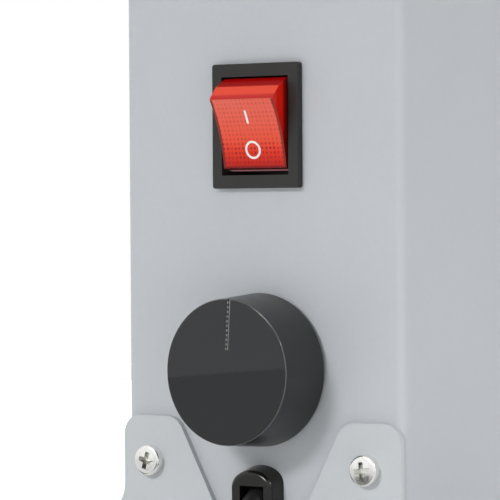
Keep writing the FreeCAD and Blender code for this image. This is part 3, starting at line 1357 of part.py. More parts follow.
def bushing_nut():
    seat = V(0, INSIDE, NECK_Z)
    bore = rod(BUSH_NECK + RUNNING, seat - V(0, SHEET, 0), seat + V(0, BUSH_NUT_LENGTH + SHEET, 0))
    return hexagon(BUSH_NUT, seat, BUSH_NUT_LENGTH).cut(bore)


def terminal_place(index):
    """Middle of one terminal's front mouth."""
    return V(index * TERMINAL_LENGTH / 3, INSIDE + TERMINAL_BACK, PAN_FLOOR + TERMINAL_HEIGHT / 2)


def terminal_block():
    """Three-way terminal block on the base pan, with screw wells and wire mouths."""
    half = TERMINAL_LENGTH / 2
    start = INSIDE + TERMINAL_BACK
    top = PAN_FLOOR + TERMINAL_HEIGHT
    body = block(-half, half, start, start + TERMINAL_DEPTH, PAN_FLOOR, top)
    body = rounded(body, SHEET, lambda edge: edge.ZMin > top - TINY)
    depth = V(0, TERMINAL_DEPTH, 0)
    cutters = []
    for index in (-1, 0, 1):
        mouth = terminal_place(index)
        well = V(mouth.x, mouth.y + TERMINAL_DEPTH / 2, top)
        cutters.append(rod(MOUTH, well - V(0, 0, TERMINAL_HEIGHT / 3), well + V(0, 0, SHEET)))
        cutters.append(rod(MOUTH, mouth - depth, mouth + V(0, MOUTH_DEPTH, 0)))
        cutters.append(rod(MOUTH, mouth + depth - V(0, MOUTH_DEPTH, 0), mouth + depth * 2))
    return body.cut(cutters)


def wire_routes():
    """Routes of the inner wires: cord to block, block to switch, switch to thermostat and heater."""
    seat = V(0, MOUTH_DEPTH, 0)
    stub = V(0, WIRE_STUB, 0)
    block_back = V(0, TERMINAL_DEPTH, 0) - seat
    blade_end = FRONT + SWITCH_BODY_DEPTH + BLADE_LENGTH
    low_blade = SWITCH_Z - BLADE_Z
    high_blade = SWITCH_Z + BLADE_Z
    stat_back = STAT_FRONT + STAT_DEPTH
    cap = V(HEATER_WIRE_X, CHAMBER_MID - HEATER_LENGTH / 2, HEATER_BOTTOM + HEATER_HEIGHT / 2)
    lane = PARTITION - WIRE_LANE
    routes = []
    for index in (-1, 0, 1):
        start = V(index * WIRE_CORE_PITCH, FRONT + BUSH_NECK_LENGTH, NECK_Z)
        mouth = terminal_place(index)
        routes.append([start, start + stub, mouth - stub, mouth + seat])
    for side in (-1, 1):
        start = terminal_place(side) + block_back
        blade = V(side * BLADE_X + SWITCH_X, blade_end, low_blade)
        routes.append([
            start, V(start.x, lane, start.z), V(start.x, lane, low_blade - WIRE_CLIMB),
            V(blade.x, lane - WIRE, low_blade), blade,
        ])
    earth = terminal_place(0) + block_back
    routes.append([earth, V(0, lane, earth.z), V(0, lane, PAN_FLOOR)])

    def switch_start(side):
        blade = V(side * BLADE_X + SWITCH_X, blade_end, high_blade)
        turn = lane - WIRE_LANE
        return [blade, V(blade.x, turn, high_blade), V(side * WIRE_SPREAD, turn, high_blade - WIRE_DROP)]

    def heater_end(side):
        pass_x = side * WIRE_PASS_X
        heater = V(side * cap.x, cap.y, cap.z)
        low = PASS_Z - WIRE / 2
        before = V(pass_x, PARTITION - WIRE_LANE / 2, low)
        behind = V(pass_x, CHAMBER_FRONT + WIRE_PASS, low)
        return [before, behind, heater - V(0, WIRE_REACH, 0), heater]

    upper_tab = V(-WIRE_SPREAD, stat_back, KNOB_Z + STAT_TAB_Z)
    lower_tab = V(-WIRE_SPREAD / 2, stat_back, KNOB_Z - STAT_TAB_Z)
    routes.append(switch_start(-1) + [upper_tab + stub * 2, upper_tab])
    routes.append(switch_start(1) + [V(WIRE_SPREAD, lane, PASS_Z + WIRE_CLIMB)] + heater_end(1))
    routes.append([lower_tab, lower_tab + stub * 2] + heater_end(-1))
    return routes


def inner_wires():
    """Insulated wires inside the box, each one tube."""
    solids = []
    for points in wire_routes():
        path, radii = route(points)
        solids.append(tube(path, WIRE, points[0], points[1] - points[0]))
    return Part.makeCompound(solids)


# Cord

def cord_lead():
    """Free stretch of the cord, from the bushing down to the floor and on to the coil."""
    return cord_tube("cord lead", CORD_LEAD, CORD)


def coil_frame():
    """Start of the coil, the direction in which it starts, and the direction to its middle."""
    start = CORD_LEAD[-1]
    heading = start - CORD_LEAD[-2]
    heading = V(heading.x, heading.y, 0)
    heading.normalize()
    return start, heading, V(heading.y, -heading.x, 0)


def coil_arcs():
    """Half turns as (start, middle, end): in on the floor layer, up while turning back, then out."""
    start, heading, inward = coil_frame()
    lead_in = start + heading * (2 * CORD)
    radii = [COIL_RADIUS - index * COIL_PITCH / 2 for index in range(COIL_HALF_TURNS)]
    turn_back = radii[-1] - COIL_PITCH / 2
    layers = [(radius, 0) for radius in radii] + [(turn_back, COIL_PITCH)]
    layers += [(radius, 0) for radius in reversed(radii)]
    arcs = []
    point = lead_in
    side = 1
    for radius, climb in layers:
        span = inward * (2 * radius * side) + V(0, 0, climb)
        end = point + span
        middle = point + span * 0.5 + heading * (side * span.Length / 2)
        arcs.append((point, middle, end))
        point = end
        side = -side
    return start, arcs, heading


def coil_end():
    """Where the coil's straight end stops."""
    start, arcs, heading = coil_arcs()
    return arcs[-1][2] - heading * (2 * CORD)


def cord_coil():
    """Put-away length of the cord: one unbroken tube wound in two layers."""
    start, arcs, heading = coil_arcs()
    edges = [Part.LineSegment(start, arcs[0][0]).toShape()]
    edges += [Part.Arc(*arc).toShape() for arc in arcs]
    edges.append(Part.LineSegment(arcs[-1][2], coil_end()).toShape())
    path = Part.Wire(edges)
    solid = tube(path, CORD, start, heading)
    share = solid.Volume / (math.pi * CORD ** 2 * path.Length)
    gap = least_gap(path.discretize(Number=GAP_POINTS)) - 2 * CORD
    print(f"cord coil: length {path.Length:.1f}, volume share {share:.4f}, least gap to itself {gap:.2f}")
    return solid


def least_gap(points):
    """Least distance between points of one line that lie more than a half turn apart along it."""
    step = (points[1] - points[0]).Length
    apart = int(math.pi * COIL_RADIUS / 2 / step)
    nearest = COIL_RADIUS
    for index in range(len(points)):
        for other in range(index + apart, len(points)):
            nearest = min(nearest, points[index].distanceToPoint(points[other]))
    return nearest


def tail_points():
    start, heading, inward = coil_frame()
    points = [coil_end(), coil_end() - heading * TAIL_RUN]
    for step in TAIL_STEPS:
        points.append(points[-1] + step)
    return points


def cord_tail():
    """Last stretch of the cord, from the coil to the plug."""
    return cord_tube("cord tail", tail_points(), CORD)


def cord_tie():
    """Strap round the bundle of turns, on the side away from the box."""
    start, arcs, heading = coil_arcs()
    centre = (arcs[0][0] + arcs[0][2]) * 0.5
    least = COIL_RADIUS - (COIL_HALF_TURNS - 1) * COIL_PITCH / 2
    offset = (COIL_PITCH + TIE_WIDTH) / 2
    inner = math.sqrt(least ** 2 - offset ** 2) - CORD - TIE_GAP
    outer = COIL_RADIUS + CORD + TIE_GAP
    low = COIL_Z - CORD - TIE_GAP
    high = COIL_Z + COIL_PITCH + CORD + TIE_GAP

    def loop(grow, reach):
        width = outer - inner + 2 * grow
        height = high - low + 2 * grow
        shape = rectangle((inner + outer) / 2, (low + high) / 2, width, height, CORD + grow)
        return plate(shape, along(COIL_PITCH / 2 - reach), V(2 * reach, 0, 0))

    strap = loop(TIE, TIE_WIDTH / 2).cut(loop(0, TIE_WIDTH))
    turn = math.degrees(math.atan2(heading.y, heading.x)) - QUARTER_TURN
    strap.rotate(V(0, 0, 0), V(0, 0, 1), turn)
    strap.translate(V(centre.x, centre.y, 0))
    return strap


# Plug

def plug_frame():
    """Point where the cord enters the plug, and the plug's level direction."""
    points = tail_points()
    heading = points[-1] - points[-2]
    turn = math.degrees(math.atan2(heading.y, heading.x)) - QUARTER_TURN
    return points[-1], turn


def plug_place(shape):
    """Moves a plug piece, built along +Y from the cord's end, to where the plug lies."""
    point, turn = plug_frame()
    shape.rotate(V(0, 0, 0), V(0, 0, 1), turn)
    shape.translate(V(point.x, point.y, 0))
    return shape


def plug_body():
    """Moulded plug: sleeve on the cord, tapered shoulders and a block at the face."""
    axis = PLUG_HEIGHT / 2
    height = tail_points()[-1].z
    neck = rectangle(0, axis, PLUG_NECK_WIDTH, PLUG_NECK_HEIGHT, PLUG_NECK_CORNER)
    face = rectangle(0, axis, PLUG_WIDTH, PLUG_HEIGHT, PLUG_CORNER)
    shoulder = PLUG_SLEEVE_LENGTH + PLUG_TAPER
    sections = [outline(neck, across(PLUG_SLEEVE_LENGTH)), outline(face, across(shoulder))]
    block_end = plate(face, across(shoulder), V(0, PLUG_LENGTH, 0))
    block_end = rounded(block_end, SHEET, lambda edge: edge.YMin > PLUG_FACE - TINY)
    sleeve = Part.makeCone(CORD + SHEET, PLUG_SLEEVE, PLUG_SLEEVE_LENGTH, V(0, 0, height), V(0, 1, 0))
    body = Part.makeLoft(sections, True, True).fuse([block_end, sleeve]).removeSplitter()
    return plug_place(body)


def plug_pins():
    """Two flat contact blades and a round earth pin."""
    axis = PLUG_HEIGHT / 2
    end = PLUG_FACE + PLUG_BLADE_LENGTH
    x = -PLUG_BLADE_OFFSET
    solids = []
    for side in (-1, 1):
        z = axis + side * PLUG_BLADE_PITCH / 2
        blade = block(x - PLUG_BLADE_WIDTH / 2, x + PLUG_BLADE_WIDTH / 2, PLUG_FACE, end,
                      z - PLUG_BLADE / 2, z + PLUG_BLADE / 2)
        blade = rounded(blade, PLUG_BLADE, lambda edge: edge.YMin > end - TINY and edge.ZLength > TINY)
        solids.append(plug_place(blade))
    earth = turned([(0, 0, 0), (EARTH_PIN, 0, 0), (EARTH_PIN, EARTH_PIN_LENGTH, EARTH_PIN_NOSE),
                    (0, EARTH_PIN_LENGTH, 0)])
    solids.append(plug_place(aimed(earth, V(EARTH_PIN_OFFSET, PLUG_FACE, axis), V(0, 1, 0))))
    return Part.makeCompound(solids)


def pieces():
    """Every piece of the dryer box by its name."""
    named = {
        "body_shell": body_shell(),
        "rear_panel": rear_panel(),
        "base_pan": base_pan(),
        "control_partition": control_partition(),
        "air_deck": air_deck(),
        "cabinet_screws": cabinet_screws(),
        "window_pane": window_pane(),
        "window_seal": window_seal(),
        "lid": lid(),
        "lid_gasket": lid_gasket(),
        "hinge_pins": hinge_pins(),
        "body_leaf_rivets": leaf_rivets(False),
        "lid_leaf_rivets": leaf_rivets(True),
        "lid_pull": lid_pull(),
        "pull_screws": pull_screws(),
        "magnet_catches": magnet_catches(),
        "front_foot": foot(FRONT, -1),
        "rear_foot": foot(REAR, 1),
        "foot_screws": foot_screws(),
        "foot_nuts": foot_nuts(),
        "foot_pads": foot_pads(),
        "switch_housing": switch_housing(),
        "switch_rocker": switch_rocker(),
        "switch_terminals": switch_terminals(),
        "control_knob": control_knob(),
        "thermostat_shaft": thermostat_shaft(),
        "thermostat_body": thermostat_body(),
        "sensing_bulb": sensing_bulb(),
        "left_roller_cradle": roller_cradle(-1),
        "right_roller_cradle": roller_cradle(1),
        "roller_bushes": roller_bushes(),
        "fan_frame": fan_frame(),
        "fan_rotor": fan_rotor(),
        "ptc_heater": ptc_heater(),
        "heater_end_caps": heater_end_caps(),
        "heater_brackets": heater_brackets(),
        "thermal_cutout": thermal_cutout(),
        "filament_outlet": filament_outlet(),
        "outlet_nut": outlet_nut(),
        "cord_bushing": cord_bushing(),
        "bushing_nut": bushing_nut(),
        "terminal_block": terminal_block(),
        "inner_wires": inner_wires(),
        "cord_lead": cord_lead(),
        "cord_coil": cord_coil(),
        "cord_tail": cord_tail(),
        "cord_tie": cord_tie(),
        "plug_body": plug_body(),
        "plug_pins": plug_pins(),
    }
    for end, middle in zip(("front", "rear"), hinge_middles()):
        named[f"{end}_hinge_body_leaf"] = hinge_leaf(middle, False)
        named[f"{end}_hinge_lid_leaf"] = hinge_leaf(middle, True)
    for end, middle in roller_middles().items():
        named[f"{end}_roller_axle"] = roller_axle(middle)
        named[f"{end}_roller_core"] = roller_core(middle)
        named[f"{end}_roller_tyres"] = roller_tyres(middle)
    return named


def main():
    os.makedirs("parts", exist_ok=True)
    for name, shape in pieces().items():
        shape.exportStep(f"parts/{name}.step")


if __name__ == "__main__":
    main()
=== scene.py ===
# %% [markdown]
# A narrow sheet-metal dryer box for one spool of filament, seen at its control end: a red rocker switch,
# a black heat knob, two foot ears with their screws, and the mains cord.
# The solids come packed from CAD and stay fixed. This script adds what CAD leaves plain: the finishes,
# the switch's lens and marks, the cord, the light and the camera.

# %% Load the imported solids
import json
import math

import bmesh
import bpy
from mathutils import Matrix, Vector


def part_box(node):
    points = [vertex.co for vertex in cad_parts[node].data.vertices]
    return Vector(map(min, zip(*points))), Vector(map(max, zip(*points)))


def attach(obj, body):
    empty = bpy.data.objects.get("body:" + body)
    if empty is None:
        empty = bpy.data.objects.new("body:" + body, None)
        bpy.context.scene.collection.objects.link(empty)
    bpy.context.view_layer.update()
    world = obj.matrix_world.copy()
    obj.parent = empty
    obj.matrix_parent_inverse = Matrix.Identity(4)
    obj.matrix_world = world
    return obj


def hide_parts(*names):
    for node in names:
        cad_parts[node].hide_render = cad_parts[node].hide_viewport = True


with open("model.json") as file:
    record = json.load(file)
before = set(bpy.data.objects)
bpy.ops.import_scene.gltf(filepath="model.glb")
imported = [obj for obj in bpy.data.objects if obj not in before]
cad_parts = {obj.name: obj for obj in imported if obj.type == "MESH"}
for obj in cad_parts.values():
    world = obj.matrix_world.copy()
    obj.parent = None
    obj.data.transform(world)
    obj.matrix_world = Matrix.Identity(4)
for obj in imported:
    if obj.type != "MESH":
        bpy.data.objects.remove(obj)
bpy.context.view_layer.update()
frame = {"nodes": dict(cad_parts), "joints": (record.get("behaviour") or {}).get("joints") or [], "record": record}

MM = 0.001
UP = Vector((0, 0, 1))

# %% [markdown]
# The camera stands to the right of the control end, almost level with the knob, with a long lens.
# It could be aimed with a Track To constraint, but its slight roll is easier to keep when the
# camera's three axes are written out from its angles.

# %% Camera
AZIMUTH, ELEVATION, ROLL = (math.radians(angle) for angle in (35.488, 0.650, -0.377))
LENS = 227.14
CAMERA_DISTANCE = 0.78594
PANEL_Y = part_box("body_shell")[0].y
AIM = Vector((-0.00329, PANEL_Y, 0.10274))

back = Vector((math.sin(AZIMUTH) * math.cos(ELEVATION), -math.cos(AZIMUTH) * math.cos(ELEVATION),
               math.sin(ELEVATION)))
level_right = Vector((math.cos(AZIMUTH), math.sin(AZIMUTH), 0))
level_up = back.cross(level_right)
right = level_right * math.cos(ROLL) + level_up * math.sin(ROLL)
upward = level_up * math.cos(ROLL) - level_right * math.sin(ROLL)
bpy.ops.object.select_all(action="DESELECT")
bpy.ops.object.camera_add()
camera = bpy.context.object
turn = Matrix((right, upward, back)).transposed().to_4x4()
camera.matrix_world = Matrix.Translation(AIM + back * CAMERA_DISTANCE) @ turn
camera.data.lens = LENS
camera.data.sensor_width = 36.0
bpy.context.scene.camera = camera
bpy.context.scene.view_settings.view_transform = "Standard"
print("camera at", [round(value, 4) for value in camera.location])

# %% [markdown]
# The picture has a plain white ground and soft light from all round. A white world that only the
# camera and reflections see keeps the ground white, while a dimmer one fills the shadows, so the
# light on the box stays at a plain level.

# %% World
WORLD_FILL = 0.4

world = bpy.data.worlds.new("white_studio")
bpy.context.scene.world = world
world.use_nodes = True
nodes, links = world.node_tree.nodes, world.node_tree.links
nodes.clear()
path = nodes.new("ShaderNodeLightPath")
seen = nodes.new("ShaderNodeMath")
seen.operation = "MAXIMUM"
seen_all = nodes.new("ShaderNodeMath")
seen_all.operation = "MAXIMUM"
links.new(path.outputs["Is Camera Ray"], seen.inputs[0])
links.new(path.outputs["Is Glossy Ray"], seen.inputs[1])
links.new(seen.outputs[0], seen_all.inputs[0])
links.new(path.outputs["Is Transmission Ray"], seen_all.inputs[1])
level = nodes.new("ShaderNodeMapRange")
level.inputs["To Min"].default_value = WORLD_FILL
level.inputs["To Max"].default_value = 1.0
links.new(seen_all.outputs[0], level.inputs["Value"])
sky = nodes.new("ShaderNodeBackground")
sky.inputs["Color"].default_value = (1, 1, 1, 1)
links.new(level.outputs["Result"], sky.inputs["Strength"])
ground = nodes.new("ShaderNodeOutputWorld")
links.new(sky.outputs["Background"], ground.inputs["Surface"])
print("world fill", WORLD_FILL)

# %% [markdown]
# Softboxes give the box its form: a large key in front, one on the right that lights the plain side and
# draws the bright line on the knob's edge, and one behind for the far side. A honeycomb grid keeps each to
# a narrow beam that is aimed low, so the panel is a little brighter at its foot.

# %% Softboxes
BEAM = math.radians(24)
BEAM_FOOT = Vector((0.0, PANEL_Y, -0.70))


def softbox(name, place, width, watts):
    """Adds a square lamp with a grid, aimed below the foot of the control end."""
    bpy.ops.object.light_add(type="AREA", location=place)
    lamp = bpy.context.object
    lamp.name = name
    lamp.rotation_euler = (Vector(place) - BEAM_FOOT).to_track_quat("Z", "Y").to_euler()
    lamp.data.size = width
    lamp.data.energy = watts
    lamp.data.spread = BEAM


softbox("key_softbox", (-0.6, -3.0, 1.0), 1.4, 4.2)
softbox("right_softbox", (2.6, -0.3, 1.6), 0.8, 1.80)
softbox("rear_softbox", (-1.6, 2.6, 1.6), 1.0, 2.60)

# %% [markdown]
# The table is a plain pale board that throws light back up at the box. Its left edge shows up in the
# knob's polished front as a straight line between the board and the white ground, so reflections see the
# board darker. The camera sees it whiter, so the ground stays white and keeps the box's shadow.

# %% Table
TABLE_LEFT, TABLE_RIGHT = -0.85, 1.8
TABLE_DEPTH = 3.2
BOUNCED = (0.85, 0.40)       # shade and lift where the board lights the box
MIRRORED = (0.50, 0.36)      # where it shows in a reflection
SEEN = (0.90, 0.62)          # where the camera sees it

bpy.ops.object.select_all(action="DESELECT")
bpy.ops.mesh.primitive_plane_add(size=1)
table = bpy.context.object
table.name = "table"
table.scale = (TABLE_RIGHT - TABLE_LEFT, TABLE_DEPTH, 1)
table.location = ((TABLE_LEFT + TABLE_RIGHT) / 2, 0, 0)
bpy.ops.object.transform_apply(location=True, rotation=True, scale=True)
table_finish = bpy.data.materials.new("table_board")
table_finish.use_nodes = True
nodes, links = table_finish.node_tree.nodes, table_finish.node_tree.links
nodes.clear()
path = nodes.new("ShaderNodeLightPath")
surface = nodes.new("ShaderNodeOutputMaterial")


def board(shade, lift):
    """Plain board of one shade, lifted towards white."""
    paint = nodes.new("ShaderNodeBsdfDiffuse")
    paint.inputs["Color"].default_value = (shade, shade, shade, 1)
    white = nodes.new("ShaderNodeEmission")
    white.inputs["Strength"].default_value = lift
    both = nodes.new("ShaderNodeAddShader")
    links.new(paint.outputs[0], both.inputs[0])
    links.new(white.outputs[0], both.inputs[1])
    return both.outputs[0]


def choose(ray, other, chosen):
    """One shader for a kind of ray, and another for the rest."""
    mix = nodes.new("ShaderNodeMixShader")
    links.new(path.outputs[ray], mix.inputs[0])
    links.new(other, mix.inputs[1])
    links.new(chosen, mix.inputs[2])
    return mix.outputs[0]


unseen = choose("Is Glossy Ray", board(*BOUNCED), board(*MIRRORED))
links.new(choose("Is Camera Ray", unseen, board(*SEEN)), surface.inputs["Surface"])
table.data.materials.append(table_finish)
print("table from", TABLE_LEFT, "to", TABLE_RIGHT)

# %% [markdown]
# The mains cord leaves the bushing at a slope, bends down to the table and is put away in a tied coil.
# A mesh tube could be swept along it, but a NURBS curve with a round bevel stays smooth, and its control
# points are the route's own. Round the coil they are the corners of a polygon drawn about each half turn.

# %% Mains cord
CORD_DIAMETER = 6.8 * MM
COIL_RADIUS = 47.0 * MM      # first half turn
COIL_STEP = 3.75 * MM        # each half turn is smaller or larger by this
COIL_RISE = 7.5 * MM         # lower layer to upper layer
COIL_HALF_TURNS = 5          # half turns in each layer
COIL_CORNERS = 8             # control points in a half turn
COIL_LEAD = 6.8 * MM         # straight cord into and out of the coil
CORD_LEAD = [Vector(point) * MM for point in
             ((0, -131.05, 41.5), (0, -155.41, 23.14), (10, -199.05, 4.8), (17, -249.05, 4.8))]
CORD_TAIL = [Vector(step) * MM for step in ((-3.4, 14.0, -1.3), (-2.0, 13.0, 0.0))]
TAIL_RUN = 13.0 * MM

heading = (CORD_LEAD[-1] - CORD_LEAD[-2]).normalized()
inward = Vector((heading.y, -heading.x, 0))


def half_turn(start, radius, side, climb):
    """Corners of the polygon about one half turn, and where the half turn ends."""
    middle = start + inward * radius * side
    reach = radius / math.cos(math.pi / 2 / COIL_CORNERS)
    corners = []
    for corner in range(COIL_CORNERS):
        share = (corner + 0.5) / COIL_CORNERS
        swing = heading * math.sin(math.pi * share) - inward * math.cos(math.pi * share)
        corners.append(middle + swing * reach * side + UP * climb * share)
    return corners, middle + inward * radius * side + UP * climb


shrinking = [COIL_RADIUS - COIL_STEP * turn for turn in range(COIL_HALF_TURNS)]
turns = [(radius, 0) for radius in shrinking] + [(shrinking[-1] - COIL_STEP, COIL_RISE)]
turns += [(radius, 0) for radius in reversed(shrinking)]
cord_points = list(CORD_LEAD)
turn_start = CORD_LEAD[-1] + heading * COIL_LEAD
for number, (radius, climb) in enumerate(turns):
    corners, turn_start = half_turn(turn_start, radius, 1 - 2 * (number % 2), climb)
    cord_points += corners
coil_end = turn_start - heading * COIL_LEAD
cord_points += [coil_end, coil_end - heading * TAIL_RUN]
for step in CORD_TAIL:
    cord_points.append(cord_points[-1] + step)

cord_line = bpy.data.curves.new("mains_cord", "CURVE")
cord_line.dimensions = "3D"
spline = cord_line.splines.new("NURBS")
spline.points.add(len(cord_points) - 1)
for point, place in zip(spline.points, cord_points):
    point.co = (*place, 1)
spline.order_u = 3
spline.use_endpoint_u = True
spline.resolution_u = 6
cord_line.bevel_depth = CORD_DIAMETER / 2
cord_line.bevel_resolution = 5
cord_line.use_fill_caps = True
mains_cord = bpy.data.objects.new("mains_cord", cord_line)
bpy.context.scene.collection.objects.link(mains_cord)
print("cord control points:", len(cord_points))

# %% [markdown]
# Finishes are built from shader nodes. Three small helpers keep that readable: one adds a node and sets
# its inputs, one starts a material with its Principled shader, and one starts a group with its sockets.

# %% Node helpers
def add_node(tree, kind, values=None, **settings):
    """Adds a shader node, with its settings and its inputs' values."""
    node = tree.nodes.new(kind)
    for name, value in settings.items():
        setattr(node, name, value)
    for name, value in (values or {}).items():
        node.inputs[name].default_value = value
    return node


def start_finish(name, values):
    """New material with a Principled shader that has these plain values."""
    material = bpy.data.materials.new(name)
    material.use_nodes = True
    tree = material.node_tree
    shader = tree.nodes["Principled BSDF"]
    for label, value in values.items():
        shader.inputs[label].default_value = value
    return material, tree, shader


def start_group(name, inputs, outputs):
    """New shader group with named number inputs and outputs."""
    group = bpy.data.node_groups.new(name, "ShaderNodeTree")
    for label, kind, value in inputs:
        socket = group.interface.new_socket(label, in_out="INPUT", socket_type=kind)
        socket.default_value = value
    for label, kind in outputs:
        group.interface.new_socket(label, in_out="OUTPUT", socket_type=kind)
    return group, group.nodes.new("NodeGroupInput"), group.nodes.new("NodeGroupOutput")


FLOAT = "NodeSocketFloat"

# %% [markdown]
# Every surface here has some grain: the orange peel of powder coat, the spark-eroded texture of a
# moulding, the skin of rubber. One group makes it from two sizes of noise on Object coordinates, so the
# grain has a real size in metres, and each finish sets its own.

# %% Grain group
FINE_RATIO = 4.3             # the fine noise is this much smaller than the coarse
GRAIN_LOW, GRAIN_HIGH = 0.38, 0.62

grain_group, start, end = start_group(
    "surface_grain",
    [("Scale", FLOAT, 800.0), ("Fine Share", FLOAT, 0.3)],
    [("Height", FLOAT), ("Mask", FLOAT)])
place = add_node(grain_group, "ShaderNodeTexCoord")
coarse = add_node(grain_group, "ShaderNodeTexNoise", {"Detail": 2.0, "Roughness": 0.5})
fine_scale = add_node(grain_group, "ShaderNodeMath", {1: FINE_RATIO}, operation="MULTIPLY")
fine = add_node(grain_group, "ShaderNodeTexNoise", {"Detail": 1.0})
both = add_node(grain_group, "ShaderNodeMix", data_type="FLOAT")
stretch = add_node(grain_group, "ShaderNodeMapRange", {"From Min": GRAIN_LOW, "From Max": GRAIN_HIGH})
links = grain_group.links
links.new(place.outputs["Object"], coarse.inputs["Vector"])
links.new(place.outputs["Object"], fine.inputs["Vector"])
links.new(start.outputs["Scale"], coarse.inputs["Scale"])
links.new(start.outputs["Scale"], fine_scale.inputs[0])
links.new(fine_scale.outputs[0], fine.inputs["Scale"])
links.new(start.outputs["Fine Share"], both.inputs["Factor"])
links.new(coarse.outputs[0], both.inputs["A"])
links.new(fine.outputs[0], both.inputs["B"])
links.new(both.outputs["Result"], end.inputs["Height"])
links.new(coarse.outputs[0], stretch.inputs["Value"])
links.new(stretch.outputs["Result"], end.inputs["Mask"])
print("group:", grain_group.name)

# %% [markdown]
# Handling leaves soft smudges and a few fine scuffs. A second group gives a mask of both, for the
# roughness and for a slight change of tone.

# %% Handling group
SMUDGE_LOW, SMUDGE_HIGH = 0.35, 0.70
SCUFF_LOW, SCUFF_HIGH = 0.66, 0.74
SCUFF_TURN, SCUFF_STRETCH = (0.4, 0.7, 0.3), (900, 60, 900)

handling_group, start, end = start_group(
    "handling_marks",
    [("Smudge Scale", FLOAT, 30.0), ("Scuff Amount", FLOAT, 0.3)],
    [("Mask", FLOAT)])
place = add_node(handling_group, "ShaderNodeTexCoord")
smudge = add_node(handling_group, "ShaderNodeTexNoise", {"Detail": 4.0, "Roughness": 0.6, "Distortion": 0.4})
soft = add_node(handling_group, "ShaderNodeMapRange", {"From Min": SMUDGE_LOW, "From Max": SMUDGE_HIGH})
turned = add_node(handling_group, "ShaderNodeMapping", {"Rotation": SCUFF_TURN, "Scale": SCUFF_STRETCH})
hair = add_node(handling_group, "ShaderNodeTexNoise", {"Scale": 1.0, "Detail": 2.0})
thin = add_node(handling_group, "ShaderNodeMapRange", {"From Min": SCUFF_LOW, "From Max": SCUFF_HIGH})
scuff = add_node(handling_group, "ShaderNodeMath", operation="MULTIPLY")
total = add_node(handling_group, "ShaderNodeMath", operation="ADD", use_clamp=True)
links = handling_group.links
links.new(place.outputs["Object"], smudge.inputs["Vector"])
links.new(start.outputs["Smudge Scale"], smudge.inputs["Scale"])
links.new(smudge.outputs[0], soft.inputs["Value"])
links.new(place.outputs["Object"], turned.inputs["Vector"])
links.new(turned.outputs["Vector"], hair.inputs["Vector"])
links.new(hair.outputs[0], thin.inputs["Value"])
links.new(thin.outputs["Result"], scuff.inputs[0])
links.new(start.outputs["Scuff Amount"], scuff.inputs[1])
links.new(soft.outputs["Result"], total.inputs[0])
links.new(scuff.outputs[0], total.inputs[1])
links.new(total.outputs[0], end.inputs["Mask"])
print("group:", handling_group.name)

# %% [markdown]
# Most finishes then differ only in numbers: two tones, two roughnesses, and the size and depth of the
# grain. One function lays them out, and each finish below it fills in its own.

# %% Grained finishes
GRAIN_TONE, HANDLING_TONE = 0.35, 0.65    # how far each moves the tone


def grained_finish(name, tones, rough, grain, depth, smudge=30.0, scuff=0.3, fine=0.3, **plain):
    """Material whose tone and roughness follow handling, with a grain of a real size and depth."""
    values = {label.replace("_", " ").title().replace("Ior", "IOR"): value for label, value in plain.items()}
    material, tree, shader = start_finish(name, values)
    marks = add_node(tree, "ShaderNodeGroup", node_tree=handling_group)
    marks.inputs["Smudge Scale"].default_value = smudge
    marks.inputs["Scuff Amount"].default_value = scuff
    skin = add_node(tree, "ShaderNodeGroup", node_tree=grain_group)
    skin.inputs["Scale"].default_value = grain
    skin.inputs["Fine Share"].default_value = fine
    tone = add_node(tree, "ShaderNodeMix", data_type="RGBA")
    tone.inputs["A"].default_value = (*tones[0], 1)
    tone.inputs["B"].default_value = (*tones[1], 1)
    blend = add_node(tree, "ShaderNodeMath", operation="MULTIPLY_ADD")
    blend.inputs[1].default_value = GRAIN_TONE
    gloss = add_node(tree, "ShaderNodeMapRange", {"To Min": rough[0], "To Max": rough[1]})
    bump = add_node(tree, "ShaderNodeBump", {"Strength": 1.0, "Distance": depth})
    handled = add_node(tree, "ShaderNodeMath", {1: HANDLING_TONE}, operation="MULTIPLY")
    links = tree.links
    links.new(marks.outputs["Mask"], handled.inputs[0])
    links.new(skin.outputs["Mask"], blend.inputs[0])
    links.new(handled.outputs[0], blend.inputs[2])
    links.new(blend.outputs[0], tone.inputs["Factor"])
    links.new(tone.outputs["Result"], shader.inputs["Base Color"])
    links.new(marks.outputs["Mask"], gloss.inputs["Value"])
    links.new(gloss.outputs["Result"], shader.inputs["Roughness"])
    links.new(skin.outputs["Height"], bump.inputs["Height"])
    links.new(bump.outputs["Normal"], shader.inputs["Normal"])
    return material


finishes = {}
finishes["powder_coat"] = grained_finish(
    "powder_coat", ((0.515, 0.540, 0.566), (0.535, 0.560, 0.586)), (0.42, 0.52), 900, 1.6e-5, scuff=0.1)
finishes["foot_coat"] = grained_finish(
    "foot_coat", ((0.530, 0.558, 0.578), (0.548, 0.577, 0.598)), (0.42, 0.52), 900, 1.6e-5, scuff=0.1)
finishes["black_knob"] = grained_finish(
    "black_knob", ((0.0085, 0.0105, 0.0115), (0.0100, 0.0120, 0.0130)), (0.32, 0.42), 1500, 5.0e-8,
    scuff=0.15)
finishes["black_plastic"] = grained_finish(
    "black_plastic", ((0.0215, 0.0210, 0.0200), (0.0260, 0.0255, 0.0245)), (0.36, 0.46), 2600, 5.0e-6,
    specular_ior_level=0.3)
finishes["bushing_nylon"] = grained_finish(
    "bushing_nylon", ((0.0075, 0.0068, 0.0062), (0.0095, 0.0088, 0.0080)), (0.10, 0.16), 1500, 5.0e-7,
    specular_ior_level=0.4)
finishes["white_plastic"] = grained_finish(
    "white_plastic", ((0.70, 0.68, 0.62), (0.76, 0.74, 0.68)), (0.35, 0.45), 2000, 3.0e-6)
finishes["black_rubber"] = grained_finish(
    "black_rubber", ((0.012, 0.012, 0.0125), (0.022, 0.022, 0.022)), (0.60, 0.75), 1800, 1.0e-5)
finishes["tyre_rubber"] = grained_finish(
    "tyre_rubber", ((0.030, 0.030, 0.033), (0.045, 0.045, 0.048)), (0.65, 0.80), 1500, 1.2e-5)
